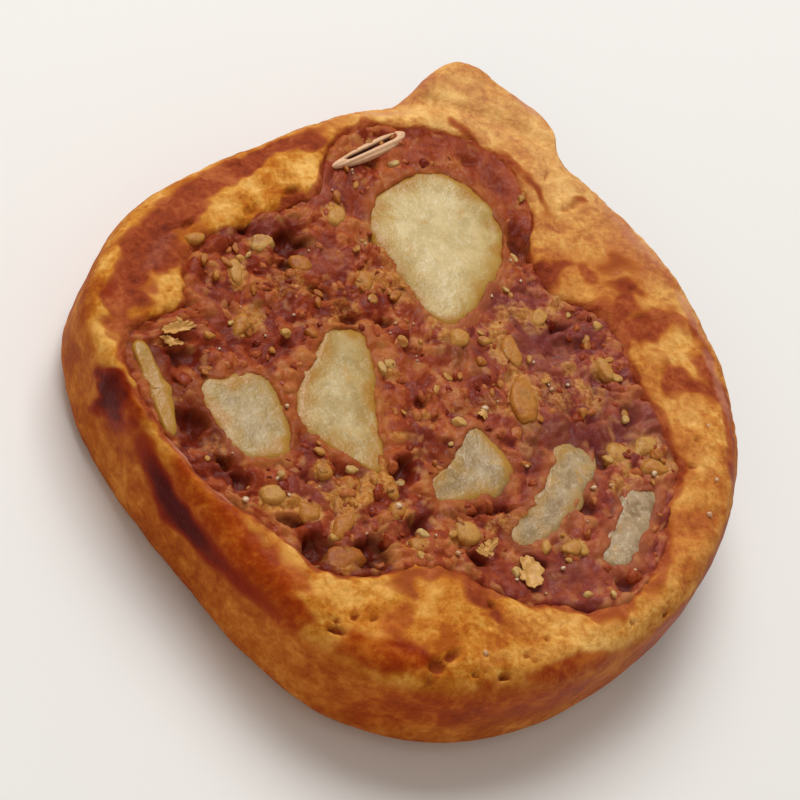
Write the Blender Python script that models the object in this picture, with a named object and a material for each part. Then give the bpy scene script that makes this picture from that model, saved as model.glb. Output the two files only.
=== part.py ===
"""A chicken biscuit: one slice of a baked roll, lying flat with its cut face up.

A ring of glazed dough with a torn flap holds a coarse savoury filling, which runs
through the slice, and chunks of candied fat sit in pockets in the filling.
Metres, +Z up, the base at z = 0.
"""

import math
import random

import bmesh
import bpy
from mathutils import Matrix, Vector, noise

MM = 0.001

# Driving sizes of the slice
THICKNESS = 10.5 * MM
MEAN_RADIUS = 28.1 * MM
GAP = 0.3 * MM
# The round body's middle, placed so that the whole slice is centred on the origin
BODY_MIDDLE = Vector((-0.05 * MM, -2.73 * MM, 0.0))

# The round outline is a circle with low lobes: how many, how high in mm, where in degrees
OUTLINE_LOBES = ((1, 0.65, 38), (2, 0.66, 53.5), (3, 0.87, 36), (4, 0.93, -20.5), (5, 0.25, 18))

# Where the dough's inner edge runs round the filling: degrees, mm from the middle
FILLING_EDGE = (
    (0, 17.9), (10, 18.1), (20, 17.7), (26, 16.4), (32, 15.5), (38, 15.5), (43, 16.4), (47, 17.9),
    (50, 20.5), (54, 22.8), (60, 24.8), (66, 25.8), (74, 25.9), (82, 25.5), (91, 24.9), (97, 23.5),
    (102, 21.7), (106.5, 19.4), (112, 18.9), (120, 19.2), (128, 19.6), (134, 20.2), (142, 21.1), (150, 21.7),
    (157, 21.4), (163, 21.5), (172, 26.0), (183, 25.5), (195, 24.4), (205, 23.8), (214, 22.5),
    (222, 22.3), (230, 22.7), (238, 21.4), (246, 19.3), (260, 18.3), (272, 20.5), (283, 21.6),
    (290, 23.1), (300, 23.6), (312, 22.7), (322, 21.7), (333, 21.4), (346, 19.5),
)

# The dough's edges, and the soft bumps of its cut face
EDGE_ROUNDING = 2.9 * MM
MOST_ROUNDING_OF_BAND = 0.75
ROUND_STEPS = 120
BUMP_HEIGHT = 0.45 * MM
BUMP_SPACING = 9.0 * MM
WALL_SWELL = 0.5 * MM
# The ring's section is drawn one unit wide and high, with this much of it rounded
ROUNDED_PART = 0.4
FOOT_RISE = 0.24
WALL_MIDDLE = 0.48
BROW_DROP = 0.3
TOP_STEPS = (0.45, 0.28, 0.1)
LIP_HEIGHT = 0.95
WALL_LUMPS = 4

# The torn flap: how far it stands out of the round outline, as degrees, mm
FLAP_REACH = (
    (45, 0.0), (50, 0.0), (52.5, 1.1), (55, 2.9), (58, 4.0), (61, 4.5), (65, 5.3), (69, 6.4),
    (72, 6.2), (75.5, 4.0), (79, 1.5), (83, 0.2), (87, 0.0), (210, 0.0),
)
# The flap lies lower than the cut face, past a soft step where the round body ends
FLAP_DROP = 0.5 * MM
FLAP_STEP = 1.6 * MM

# The filling's coarse top
FILLING_TOP = THICKNESS - 0.6 * MM
CRUMB_HEIGHT = 0.55 * MM
CRUMB_SPACING = 2.4 * MM
# The layer of the noise that the crumbs are read from, apart from the dough's
CRUMB_LAYER = 0.02
# The plug's section from the middle of its foot to its brow, one unit wide and high
PLUG_SIDE = ((0.0, 0.0), (0.5, 0.0), (1.0, 0.0), (1.0, 0.5), (1.0, 0.95))
SAME_PLACE = 0.001
FILLING_RINGS = (0.12, 0.24, 0.35, 0.45, 0.54, 0.62, 0.7, 0.78, 0.85, 0.92, 0.98)

# Chunks of fat: outline in mm from the middle, then how deep in mm they sit
FAT_CHUNKS = (
    (((-2.3, 14.8), (-1.0, 18.0), (1.8, 20.1), (5.4, 21.1), (8.8, 19.2), (10.5, 14.8), (9.6, 11.6),
      (7.4, 8.8), (5.2, 6.2), (2.9, 4.9), (0.8, 6.0), (-1.2, 10.6)), 6.5),
    (((-20.9, -0.6), (-17.6, 0.1), (-14.7, -0.2), (-13.9, -5.2), (-15.7, -7.9), (-18.7, -7.4),
      (-20.3, -4.0)), 5.5),
    (((-8.3, 4.8), (-5.3, 4.3), (-5.2, 0.8), (-6.0, -4.0), (-7.1, -9.0), (-9.0, -8.6),
      (-13.2, -4.4), (-12.2, -0.6), (-9.6, 1.6)), 6.0),
    (((1.7, -4.8), (3.2, -6.0), (4.3, -8.3), (3.4, -10.6), (0.4, -11.8), (-3.0, -12.0),
      (-3.7, -10.2), (-1.4, -8.2)), 5.0),
    (((8.8, -6.8), (11.2, -6.7), (12.1, -8.6), (9.4, -12.2), (6.3, -15.0), (3.4, -16.2),
      (2.3, -14.7), (5.2, -11.8), (7.4, -9.0)), 4.5),
    (((14.1, -11.0), (16.9, -11.1), (15.6, -14.0), (12.2, -18.2), (9.7, -17.2),
      (12.2, -13.6)), 5.0),
    (((-25.4, 2.9), (-24.3, 3.0), (-23.5, 0.0), (-23.2, -3.4), (-23.6, -5.0), (-24.3, -4.8),
      (-24.8, -2.0), (-25.2, 0.6)), 4.0),
)
FAT_TOP = THICKNESS - 0.35 * MM
FAT_CROWN = 0.35 * MM
FAT_ROUNDING = 0.75 * MM
POCKET_RISE = 4.0 * MM
# The cutter grows by the gap and this much more, because its corners are rounded
POCKET_SLACK = 1.25
# A pocket closer than this to the filling's edge runs out through it, by the breakthrough
THIN_WALL = 0.3 * MM
BREAKTHROUGH = 1.5 * MM

# Bits of nut and sesame that show in the cut: x, y, length, width in mm, turn in degrees
BITS = (
    (-18.0, 13.2, 2.3, 1.7, 20), (-12.2, 13.0, 2.0, 1.5, 0), (-15.2, 10.0, 2.4, 1.3, 80),
    (-5.1, 16.0, 2.1, 1.7, 60), (7.5, 2.4, 3.2, 1.8, 75), (7.1, -2.7, 4.6, 2.4, 85),
    (11.2, 6.0, 1.9, 1.5, 40), (15.6, 0.8, 2.3, 1.4, 110), (2.8, 3.6, 2.0, 1.5, 20),
    (17.0, -6.8, 2.5, 1.4, 20), (17.6, -8.9, 2.6, 1.5, -10), (14.3, -7.4, 2.5, 1.8, 10),
    (7.6, -16.2, 2.0, 1.5, 10), (-1.6, -14.8, 2.1, 1.7, 0), (-14.2, -12.4, 2.0, 1.8, 30),
    (-17.0, -10.9, 2.2, 1.4, 10), (-12.4, -16.7, 3.2, 2.0, 0), (-11.6, -13.6, 3.2, 1.3, 45),
    (-12.3, -8.9, 1.4, 1.2, 0), (-16.0, 4.6, 2.2, 1.2, 70), (-6.9, -12.6, 1.8, 1.3, 30),
    (-9.4, 11.0, 1.9, 1.4, 0), (-4.1, 9.6, 2.4, 1.4, 80), (-6.0, -15.8, 1.5, 1.2, 0),
)
BIT_HEIGHT = 1.3 * MM

# Smaller grains between them, spread by a seeded draw that keeps them apart
GRAIN_SEED = 11
GRAIN_TRIES = 900
GRAIN_MOST = 70
GRAIN_SIZES = (1.0 * MM, 1.7 * MM)
GRAIN_APART = 2.3 * MM
GRAIN_TILT = 0.25
EDGE_MARGIN = 1.3 * MM
POCKET_MARGIN = 1.5 * MM

# The long husked seed: x, y, length, width in mm, turn in degrees
SEED = (0.0, 22.9, 8.2, 1.6, 29)
SEED_HEIGHT = 1.2 * MM


def clear_scene():
    for item in list(bpy.data.objects):
        bpy.data.objects.remove(item, do_unlink=True)


def food_material(name, colour, roughness):
    material = bpy.data.materials.new(name)
    material.use_nodes = True
    shader = material.node_tree.nodes["Principled BSDF"]
    shader.inputs["Base Color"].default_value = (*colour, 1.0)
    shader.inputs["Roughness"].default_value = roughness
    shader.inputs["Metallic"].default_value = 0.0
    return material


def object_from(name, shape, material=None, collection=None):
    """Turn a bmesh into an object, and free the bmesh."""
    bmesh.ops.recalc_face_normals(shape, faces=shape.faces)
    mesh = bpy.data.meshes.new(name)
    shape.to_mesh(mesh)
    shape.free()
    mesh.shade_smooth()
    if material:
        mesh.materials.append(material)
    item = bpy.data.objects.new(name, mesh)
    (collection or bpy.context.scene.collection).objects.link(item)
    return item


# Outlines as functions of the angle round the middle
def round_curve(knots, angle):
    """A smooth closed curve through (degrees, mm) knots, read at an angle, in metres."""
    count = len(knots)
    turn = (math.degrees(angle) - knots[0][0]) % 360.0 + knots[0][0]
    after = next((i for i, (at, _) in enumerate(knots) if at > turn), count)
    near = []
    for i in range(after - 2, after + 2):
        at, value = knots[i % count]
        near.append((at + 360.0 * (i // count), value * MM))
    (at0, v0), (at1, v1), (at2, v2), (at3, v3) = near
    step = at2 - at1
    leaving = (v2 - v0) / (at2 - at0) * step
    arriving = (v3 - v1) / (at3 - at1) * step
    t = (turn - at1) / step
    return (
        (2 * t**3 - 3 * t**2 + 1) * v1
        + (t**3 - 2 * t**2 + t) * leaving
        + (3 * t**2 - 2 * t**3) * v2
        + (t**3 - t**2) * arriving
    )


def body_radius(angle):
    """The round body's outline, without the flap."""
    radius = MEAN_RADIUS
    for lobes, height, peak in OUTLINE_LOBES:
        radius += height * MM * math.cos(lobes * (angle - math.radians(peak)))
    return radius


def outer_radius(angle):
    return body_radius(angle) + round_curve(FLAP_REACH, angle)


def filling_edge(angle):
    """The dough's inner edge."""
    return round_curve(FILLING_EDGE, angle)


def filling_radius(angle):
    """The filling's own edge, a gap away from the dough even where the edge slants."""
    small = math.radians(1.0)
    radius = filling_edge(angle)
    slant = (filling_edge(angle + small) - filling_edge(angle - small)) / (2 * small * radius)
    return radius - GAP * math.hypot(1.0, slant)


# Soft relief of the cut face
def dough_bump(x, y):
    place = Vector((x, y, 0.0)) / BUMP_SPACING
    return BUMP_HEIGHT * noise.noise(place)


def flap_drop(x, y):
    """How far the flap lies under the cut face at a place, nothing on the round body."""
    beyond = math.hypot(x, y) - body_radius(math.atan2(y, x)) + FLAP_STEP
    share = max(0.0, min(1.0, beyond / FLAP_STEP))
    out = min(1.0, round_curve(FLAP_REACH, math.atan2(y, x)) / FLAP_STEP)
    return FLAP_DROP * out * share * share * (3 - 2 * share)


def crumb_bump(x, y):
    place = Vector((x, y, CRUMB_LAYER)) / CRUMB_SPACING
    return dough_bump(x, y) + CRUMB_HEIGHT * noise.noise(place)


# Dough: a spun ring, shaped by its two outlines
def ring_section(shape):
    """One closed section, drawn from radius 1 inside to 2 outside and from height 0 to 1."""
    start = 1.0 - ROUNDED_PART
    points = [(0.0, 0.0), (start, 0.0)]
    for turn in (-60, -30, 0):
        angle = math.radians(turn)
        points.append((start + ROUNDED_PART * math.cos(angle), FOOT_RISE * (1 + math.sin(angle))))
    points.append((1.0, WALL_MIDDLE))
    for turn in (0, 22.5, 45, 67.5, 90):
        angle = math.radians(turn)
        across = start + ROUNDED_PART * math.cos(angle)
        points.append((across, 1 - BROW_DROP * (1 - math.sin(angle))))
    points += [(across, 1.0) for across in TOP_STEPS]
    points.append((0.0, LIP_HEIGHT))
    corners = [shape.verts.new((1.0 + across, 0.0, up)) for across, up in points]
    return [shape.edges.new((corner, corners[i - 1])) for i, corner in enumerate(corners)]


def place_ring_point(point):
    angle = math.atan2(point.y, point.x)
    across = math.hypot(point.x, point.y) - 1.0
    inner = filling_edge(angle)
    outer = outer_radius(angle)
    rounding = min(EDGE_ROUNDING, MOST_ROUNDING_OF_BAND * (outer - inner))
    flat = 1.0 - ROUNDED_PART
    if across > flat:
        radius = outer - rounding * (1.0 - across) / ROUNDED_PART
        swell = noise.noise(Vector((angle * WALL_LUMPS, 0, 0)))
        radius += WALL_SWELL * math.sin(math.pi * point.z) * swell
    else:
        radius = inner + (outer - rounding - inner) * across / flat
    x = radius * math.cos(angle)
    y = radius * math.sin(angle)
    return Vector((x, y, point.z * (THICKNESS + dough_bump(x, y) - flap_drop(x, y))))


def make_dough(material):
    shape = bmesh.new()
    section = ring_section(shape)
    bmesh.ops.spin(
        shape, geom=section, cent=(0, 0, 0), axis=(0, 0, 1),
        angle=2 * math.pi, steps=ROUND_STEPS, use_merge=True,
    )
    for vert in shape.verts:
        vert.co = place_ring_point(vert.co)
    bmesh.ops.translate(shape, verts=shape.verts, vec=BODY_MIDDLE)
    return object_from("dough", shape, material)


# Fat: each chunk is its outline raised, rounded and crowned
def chunk_shape(outline, depth):
    shape = bmesh.new()
    corners = [shape.verts.new((x * MM, y * MM, FAT_TOP - depth * MM)) for x, y in outline]
    base = shape.faces.new(corners)
    grown = bmesh.ops.extrude_face_region(shape, geom=[base])["geom"]
    raised = [item for item in grown if isinstance(item, bmesh.types.BMVert)]
    bmesh.ops.translate(shape, verts=raised, vec=(0, 0, depth * MM))
    bmesh.ops.recalc_face_normals(shape, faces=shape.faces)
    bmesh.ops.bevel(
        shape, geom=shape.edges[:], offset=FAT_ROUNDING, segments=2, profile=0.5,
        affect="EDGES", material=-1, clamp_overlap=True,
    )
    top = max(shape.faces, key=lambda face: face.calc_center_median().z)
    bmesh.ops.poke(shape, faces=[top], offset=FAT_CROWN)
    return shape


def make_fat(number, material):
    outline, depth = FAT_CHUNKS[number]
    shape = chunk_shape(outline, depth)
    bmesh.ops.translate(shape, verts=shape.verts, vec=BODY_MIDDLE)
    return object_from(f"fat_{number + 1}", shape, material)


def pocket_cutter(outline, depth, collection):
    """A chunk grown by the gap, and open to the top."""
    shape = chunk_shape(outline, depth)
    shape.normal_update()
    middle = FAT_TOP - depth * MM / 2
    outward = [(vert, vert.normal.copy()) for vert in shape.verts]
    for vert, normal in outward:
        if vert.co.z > middle:
            vert.co.z += POCKET_RISE
            normal.z = 0.0
            normal.normalize()
        vert.co += normal * GAP * POCKET_SLACK
        flat = Vector((vert.co.x, vert.co.y, 0.0))
        if flat.length > filling_radius(math.atan2(flat.y, flat.x)) - THIN_WALL:
            vert.co += flat.normalized() * BREAKTHROUGH
    return object_from("pocket", shape, collection=collection)


# Filling: a spun plug with a coarse top, grains joined on and pockets cut out
def plug_shape():
    shape = bmesh.new()
    points = list(PLUG_SIDE)
    points += [(ring, 1.0) for ring in reversed(FILLING_RINGS)]
    points.append((0.0, 1.0))
    corners = [shape.verts.new((across, 0.0, up)) for across, up in points]
    section = [shape.edges.new(pair) for pair in zip(corners, corners[1:])]
    bmesh.ops.spin(
        shape, geom=section, cent=(0, 0, 0), axis=(0, 0, 1),
        angle=2 * math.pi, steps=ROUND_STEPS, use_merge=True,
    )
    bmesh.ops.remove_doubles(shape, verts=shape.verts, dist=SAME_PLACE)
    for vert in shape.verts:
        angle = math.atan2(vert.co.y, vert.co.x)
        radius = math.hypot(vert.co.x, vert.co.y) * filling_radius(angle)
        x = radius * math.cos(angle)
        y = radius * math.sin(angle)
        vert.co = Vector((x, y, vert.co.z * (FILLING_TOP + crumb_bump(x, y))))
    return shape


def add_grain(x, y, sizes, turn, collection, rings=3):
    """One small rounded grain, half sunk in the filling's top."""
    shape = bmesh.new()
    bmesh.ops.create_uvsphere(shape, u_segments=5, v_segments=rings, radius=0.5)
    place = Matrix.Translation((x, y, FILLING_TOP + crumb_bump(x, y)))
    size = Matrix.Diagonal((*sizes, 1.0))
    tilt = Matrix.Rotation(turn, 4, "Z") @ Matrix.Rotation(GRAIN_TILT, 4, "X")
    bmesh.ops.transform(shape, matrix=place @ tilt @ size, verts=shape.verts)
    return object_from("grain", shape, collection=collection)


def near_outline(x, y, outline, margin):
    """Whether a point lies inside an outline or closer to it than the margin."""
    inside = False
    for i, (x2, y2) in enumerate(outline):
        x1, y1 = outline[i - 1]
        start = Vector((x1 * MM, y1 * MM))
        side = Vector((x2 * MM, y2 * MM)) - start
        offset = Vector((x, y)) - start
        along = max(0.0, min(1.0, offset.dot(side) / side.length_squared))
        if (offset - side * along).length < margin:
            return True
        if (start.y > y) != (start.y + side.y > y):
            if x < start.x + side.x * (y - start.y) / side.y:
                inside = not inside
    return inside


def is_free(x, y, taken):
    if math.hypot(x, y) > filling_radius(math.atan2(y, x)) - EDGE_MARGIN:
        return False
    if any(near_outline(x, y, outline, POCKET_MARGIN) for outline, _ in FAT_CHUNKS):
        return False
    return all(math.hypot(x - tx, y - ty) > GRAIN_APART for tx, ty in taken)


def add_grains(collection):
    for x, y, length, width, turn in BITS:
        sizes = (length * MM, width * MM, BIT_HEIGHT)
        add_grain(x * MM, y * MM, sizes, math.radians(turn), collection, rings=4)
    x, y, length, width, turn = SEED
    sizes = (length * MM, width * MM, SEED_HEIGHT)
    add_grain(x * MM, y * MM, sizes, math.radians(turn), collection, rings=6)

    draw = random.Random(GRAIN_SEED)
    taken = [(x * MM, y * MM) for x, y, *_ in BITS + (SEED,)]
    most = len(taken) + GRAIN_MOST
    for _ in range(GRAIN_TRIES):
        x = draw.uniform(-MEAN_RADIUS, MEAN_RADIUS)
        y = draw.uniform(-MEAN_RADIUS, MEAN_RADIUS)
        sizes = [draw.uniform(*GRAIN_SIZES) for _ in range(3)]
        turn = draw.uniform(0, math.pi)
        if len(taken) < most and is_free(x, y, taken):
            taken.append((x, y))
            add_grain(x, y, sizes, turn, collection)


def combine(target, collection, operation):
    """Apply one Boolean of a whole collection to the target, and remove its objects."""
    modifier = target.modifiers.new(operation.lower(), "BOOLEAN")
    modifier.operation = operation
    modifier.operand_type = "COLLECTION"
    modifier.collection = collection
    bpy.context.view_layer.objects.active = target
    bpy.ops.object.modifier_apply(modifier=modifier.name)
    for item in list(collection.objects):
        bpy.data.objects.remove(item, do_unlink=True)
    bpy.data.collections.remove(collection)


def drop_scraps(target):
    """Keep only the largest body of a mesh that the Booleans may have cut scraps from."""
    shape = bmesh.new()
    shape.from_mesh(target.data)
    left = set(shape.verts)
    bodies = []
    while left:
        body = {left.pop()}
        front = set(body)
        while front:
            reached = {edge.other_vert(vert) for vert in front for edge in vert.link_edges}
            front = reached - body
            body |= front
        left -= body
        bodies.append(body)
    largest = max(bodies, key=len)
    scraps = [vert for vert in shape.verts if vert not in largest]
    bmesh.ops.delete(shape, geom=scraps, context="VERTS")
    shape.to_mesh(target.data)
    shape.free()


def new_collection(name):
    collection = bpy.data.collections.new(name)
    bpy.context.scene.collection.children.link(collection)
    return collection


def make_filling(material):
    filling = object_from("filling", plug_shape(), material)
    grains = new_collection("grains")
    add_grains(grains)
    combine(filling, grains, "UNION")
    pockets = new_collection("pockets")
    for outline, depth in FAT_CHUNKS:
        pocket_cutter(outline, depth, pockets)
    combine(filling, pockets, "DIFFERENCE")
    drop_scraps(filling)
    filling.data.transform(Matrix.Translation(BODY_MIDDLE))
    return filling


def main():
    clear_scene()
    make_dough(food_material("glazed_dough", (0.62, 0.3, 0.08), 0.45))
    make_filling(food_material("savoury_filling", (0.27, 0.08, 0.04), 0.5))
    fat = food_material("candied_fat", (0.58, 0.46, 0.25), 0.3)
    for number in range(len(FAT_CHUNKS)):
        make_fat(number, fat)


main()
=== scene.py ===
"""Looks of the chicken biscuit: glazed dough, coarse filling, candied fat, bits and seed."""

import math

import bmesh
import bpy
import numpy as np
from mathutils import Matrix, Vector, noise


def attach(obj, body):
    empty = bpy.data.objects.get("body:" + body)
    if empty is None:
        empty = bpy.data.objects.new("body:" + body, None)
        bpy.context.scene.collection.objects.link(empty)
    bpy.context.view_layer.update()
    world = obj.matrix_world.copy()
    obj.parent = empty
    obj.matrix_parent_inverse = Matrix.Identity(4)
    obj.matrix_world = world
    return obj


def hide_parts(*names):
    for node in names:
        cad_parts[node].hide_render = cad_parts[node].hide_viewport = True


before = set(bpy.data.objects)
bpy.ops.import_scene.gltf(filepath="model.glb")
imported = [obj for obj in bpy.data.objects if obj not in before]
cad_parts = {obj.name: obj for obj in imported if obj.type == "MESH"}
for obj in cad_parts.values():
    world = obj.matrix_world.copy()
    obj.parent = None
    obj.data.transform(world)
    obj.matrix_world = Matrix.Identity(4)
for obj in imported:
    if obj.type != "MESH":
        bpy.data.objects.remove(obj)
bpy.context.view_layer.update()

MM = 0.001

# Sizes shared with the solids
THICKNESS = 10.5 * MM
MEAN_RADIUS = 28.1 * MM
MIDDLE = np.array((-0.05, -2.73, 0.0)) * MM
OUTLINE_LOBES = (
    (1, 0.65, 38), (2, 0.66, 53.5), (3, 0.87, 36), (4, 0.93, -20.5), (5, 0.25, 18),
)
FILLING_EDGE = (
    (0, 17.9), (10, 18.1), (20, 17.7), (26, 16.4), (32, 15.5), (38, 15.5), (43, 16.4), (47, 17.9),
    (50, 20.5), (54, 22.8), (60, 24.8), (66, 25.8), (74, 25.9), (82, 25.5), (91, 24.9), (97, 23.5),
    (102, 21.7), (106.5, 19.4), (112, 18.9), (120, 19.2), (128, 19.6), (134, 20.2), (142, 21.1),
    (150, 21.7), (157, 21.4), (163, 21.5), (172, 26), (183, 25.5), (195, 24.4), (205, 23.8),
    (214, 22.5), (222, 22.3), (230, 22.7), (238, 21.4), (246, 19.3), (260, 18.3), (272, 20.5),
    (283, 21.6), (290, 23.1), (300, 23.6), (312, 22.7), (322, 21.7), (333, 21.4), (346, 19.5),
)
FLAP_REACH = (
    (45, 0), (50, 0), (52.5, 1.1), (55, 2.9), (58, 4), (61, 4.5), (65, 5.3), (69, 6.4), (72, 6.2),
    (75.5, 4), (79, 1.5), (83, 0.2), (87, 0), (210, 0),
)
FLAP_DROP = 0.1 * MM
CREASE_DEPTH = 0.5 * MM
FLAP_STEP = 1.6 * MM
FLAP_SHARPNESS = 0.5
EDGE_ROUNDING = 2.9 * MM
MOST_ROUNDING_OF_BAND = 0.75
BUMP_HEIGHT = 0.45 * MM
BUMP_SPACING = 9.0 * MM
WALL_SWELL = 0.5 * MM
FILLING_TOP = THICKNESS - 0.6 * MM
HIGHEST = 10.93 * MM

FAT_CHUNKS = (
    (((-2.3, 14.8), (-1.2, 17.8), (0.6, 19.5), (3, 20.6), (5.4, 21.1), (8, 19.9), (9.8, 17.9),
      (10.5, 14.8), (9.6, 11.6), (7.4, 8.8), (5.2, 6.2), (2.9, 4.9), (0.8, 6), (-0.6, 9.2),
      (-1.8, 12.2)), 6.5),
    (((-20.9, -0.6), (-17.6, 0.1), (-14.7, -0.2), (-13.9, -5.2), (-15.7, -7.9), (-18.7, -7.4),
      (-20.3, -4)), 5.5),
    (((-8.3, 4.8), (-5.3, 4.3), (-5.2, 0.8), (-6, -4), (-7.1, -9), (-9, -8.6),
      (-13.2, -4.4), (-12.2, -0.3), (-10.4, 2.1)), 6),
    (((1.7, -4.8), (3.2, -6), (4.3, -8.3), (3.4, -10.6), (0.4, -11.8), (-3, -12),
      (-3.7, -10.2), (-1.4, -8.2)), 5),
    (((8.8, -6.8), (11.2, -6.7), (12.1, -8.6), (9.4, -12.2), (6.3, -15), (3.4, -16.2),
      (2.3, -14.7), (5.2, -11.8), (7.4, -9)), 4.5),
    (((14.1, -11), (16.9, -11.1), (15.6, -14), (12.2, -18.2), (9.7, -17.2),
      (12.2, -13.6)), 5),
    (((-25.4, 2.9), (-24.3, 3), (-23.5, 0), (-23.2, -3.4), (-23.6, -5), (-24.3, -4.8),
      (-24.8, -2), (-25.2, 0.6)), 4),
)
# Nut bits: x, y, length and width in mm, turn in degrees, and how pale
BITS = (
    (-18.2, 13.2, 1.7, 1.2, 20, 0.4), (-12.2, 13, 2, 1.5, 0, 0.75), (-15.2, 10, 2.4, 1.3, 80, 0.6),
    (-5.1, 16, 2.1, 1.7, 60, 0.6), (7.5, 2.4, 3, 1.6, 75, 0.35), (7.1, -2.7, 4.2, 2, 85, 0.3),
    (11.2, 6, 1.9, 1.5, 40, 0.6), (15.6, 0.8, 2.3, 1.4, 110, 0.5), (2.8, 3.6, 2, 1.5, 20, 0.5),
    (17, -6.8, 2.5, 1.4, 20, 0.7), (17.6, -8.9, 2.6, 1.5, -10, 0.4), (14.3, -7.4, 2.5, 1.8, 10, 0.6),
    (7.6, -16.2, 2, 1.5, 10, 0.5), (-1.6, -14.8, 2.1, 1.7, 0, 0.6), (-14.2, -12.4, 2, 1.8, 30, 0.3),
    (-17, -10.9, 2.2, 1.4, 10, 0.55), (-12.4, -16.7, 3.2, 2, 0, 0), (-11.6, -13.6, 3.2, 1.3, 45, 0.25),
    (-12.3, -8.9, 1.4, 1.2, 0, 0.4), (-16, 4.6, 2.2, 1.2, 70, 0.4), (-6.9, -12.6, 1.8, 1.3, 30, 0.3),
    (-9.4, 11, 1.9, 1.4, 0, 0.2), (-4.1, 9.6, 2.4, 1.4, 80, 0.35), (-6, -15.8, 1.5, 1.2, 0, 0.4),
)
SEED = (-0.1, 22.9, 8.8, 1.5, 27)

# Where the photograph's camera stood, seen from the middle of the piece
VIEW_AZIMUTH = math.radians(-40.9)
VIEW_ELEVATION = math.radians(48.6)
VIEW_DISTANCE = 0.2505
VIEW_AIM = Vector((-0.4, -0.9, 3.9)) * MM
SENSOR_WIDTH = 36.0
LENS = 137.0

# Paint on the side that faces the camera is placed as it shows beside the cut face:
# a point shows this much further along x and y for each millimetre below the face
SIGHT_SLIDE = (-0.575, -0.664)
SIGHT_SIDE = (-0.655, -0.756)

# Noise is read this many of its own spacings away from the middle, so that no cell is negative
NOISE_START = 500.0


# Small tools for arrays of points
def smooth_step(value, low, high):
    share = np.clip((value - low) / (high - low), 0.0, 1.0)
    return share * share * (3 - 2 * share)


def soft_noise(places, spacing, seed):
    """Smooth random values from -1 to 1 at each place, with lumps of the given spacing."""
    size = 48
    table = np.random.default_rng(seed).uniform(-1.0, 1.0, (size, size, size))
    scaled = places / spacing + NOISE_START
    cell = np.floor(scaled).astype(int)
    part = scaled - cell
    part = part * part * (3 - 2 * part)
    total = np.zeros(len(places))
    for corner in np.ndindex(2, 2, 2):
        weight = np.prod(np.where(corner, part, 1 - part), axis=1)
        total += weight * table[tuple(((cell + corner) % size).T)]
    return total


def uneven(places, *layers):
    """Layers of smooth noise added up: each is a height, a spacing in mm and a seed."""
    return sum(height * soft_noise(places, spacing * MM, seed) for height, spacing, seed in layers)


def pebbles(x, y, spacing, seed):
    """Distances to the nearest and next pebble's centre, in spacings, and the nearest's own number."""
    size = 64
    draw = np.random.default_rng(seed)
    offset = draw.uniform(0.08, 0.92, (size, size, 2))
    number = draw.uniform(0.0, 1.0, (size, size))
    place = np.column_stack([x, y]) / spacing + NOISE_START
    cell = np.floor(place).astype(int)
    nearest = np.full(len(x), 9.0)
    second = np.full(len(x), 9.0)
    own = np.zeros(len(x))
    for step in np.ndindex(3, 3):
        beside = cell + step - 1
        i, j = (beside % size).T
        away = np.hypot(*(beside + offset[i, j] - place).T)
        closer = away < nearest
        second = np.where(closer, nearest, np.minimum(second, away))
        own = np.where(closer, number[i, j], own)
        nearest = np.minimum(nearest, away)
    return nearest, second, own


def flat_places(x, y, z=0.0):
    return np.stack([x, y, np.full_like(x, z)], axis=1)


def from_angle(radius, angles):
    return radius * np.cos(angles), radius * np.sin(angles)


def turned(points, degrees):
    """The points turned round Z."""
    return points @ np.array(Matrix.Rotation(math.radians(degrees), 3, "Z")).T


def patches(x, y, spots, seed, ragged=0.3, soft=0.4):
    """How much soft, ragged oval patches cover each point, up to a patch's strength.

    A patch is its x and y, length and width in mm, turn in degrees and strength.
    """
    wobble = ragged * uneven(flat_places(x, y), (1.0, 1.7, seed), (0.6, 0.7, seed + 1))
    cover = np.zeros(len(x))
    for cx, cy, length, width, turn, strength in spots:
        turn = math.radians(turn)
        dx = x - cx * MM
        dy = y - cy * MM
        along = (dx * math.cos(turn) + dy * math.sin(turn)) / (length * MM / 2)
        aside = (dy * math.cos(turn) - dx * math.sin(turn)) / (width * MM / 2)
        far = np.hypot(along, aside) + wobble
        cover = np.maximum(cover, strength * smooth_step(far, 1.0 + soft, 1.0 - soft))
    return cover


def grown(spots, longer, wider):
    """The same patches with their length and width multiplied."""
    return [(x, y, longer * length, wider * width, *rest) for x, y, length, width, *rest in spots]


def distance_to_line(x, y, line, closed=False):
    """Distance from each point to a line through (x, y) points in mm, and how far along, 0 to 1."""
    corners = np.array(line) * MM
    if closed:
        corners = np.vstack([corners, corners[:1]])
    best = np.full(len(x), 1.0)
    along = np.zeros(len(x))
    count = len(corners) - 1
    for i in range(count):
        sx, sy = corners[i + 1] - corners[i]
        dx = x - corners[i, 0]
        dy = y - corners[i, 1]
        t = np.clip((dx * sx + dy * sy) / (sx * sx + sy * sy), 0.0, 1.0)
        away = np.hypot(dx - t * sx, dy - t * sy)
        along = np.where(away < best, (i + t) / count, along)
        best = np.minimum(best, away)
    return best, along


def signed_distance(x, y, outline):
    """Distance to a closed outline, negative inside it."""
    away, _ = distance_to_line(x, y, outline, closed=True)
    inside = np.zeros(len(x), bool)
    for i, (x2, y2) in enumerate(outline):
        x1, y1 = outline[i - 1]
        if y1 == y2:
            continue
        spans = (y1 * MM > y) != (y2 * MM > y)
        crossing = (x1 + (x2 - x1) * (y / MM - y1) / (y2 - y1)) * MM
        inside ^= spans & (x < crossing)
    return np.where(inside, -away, away)


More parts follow.
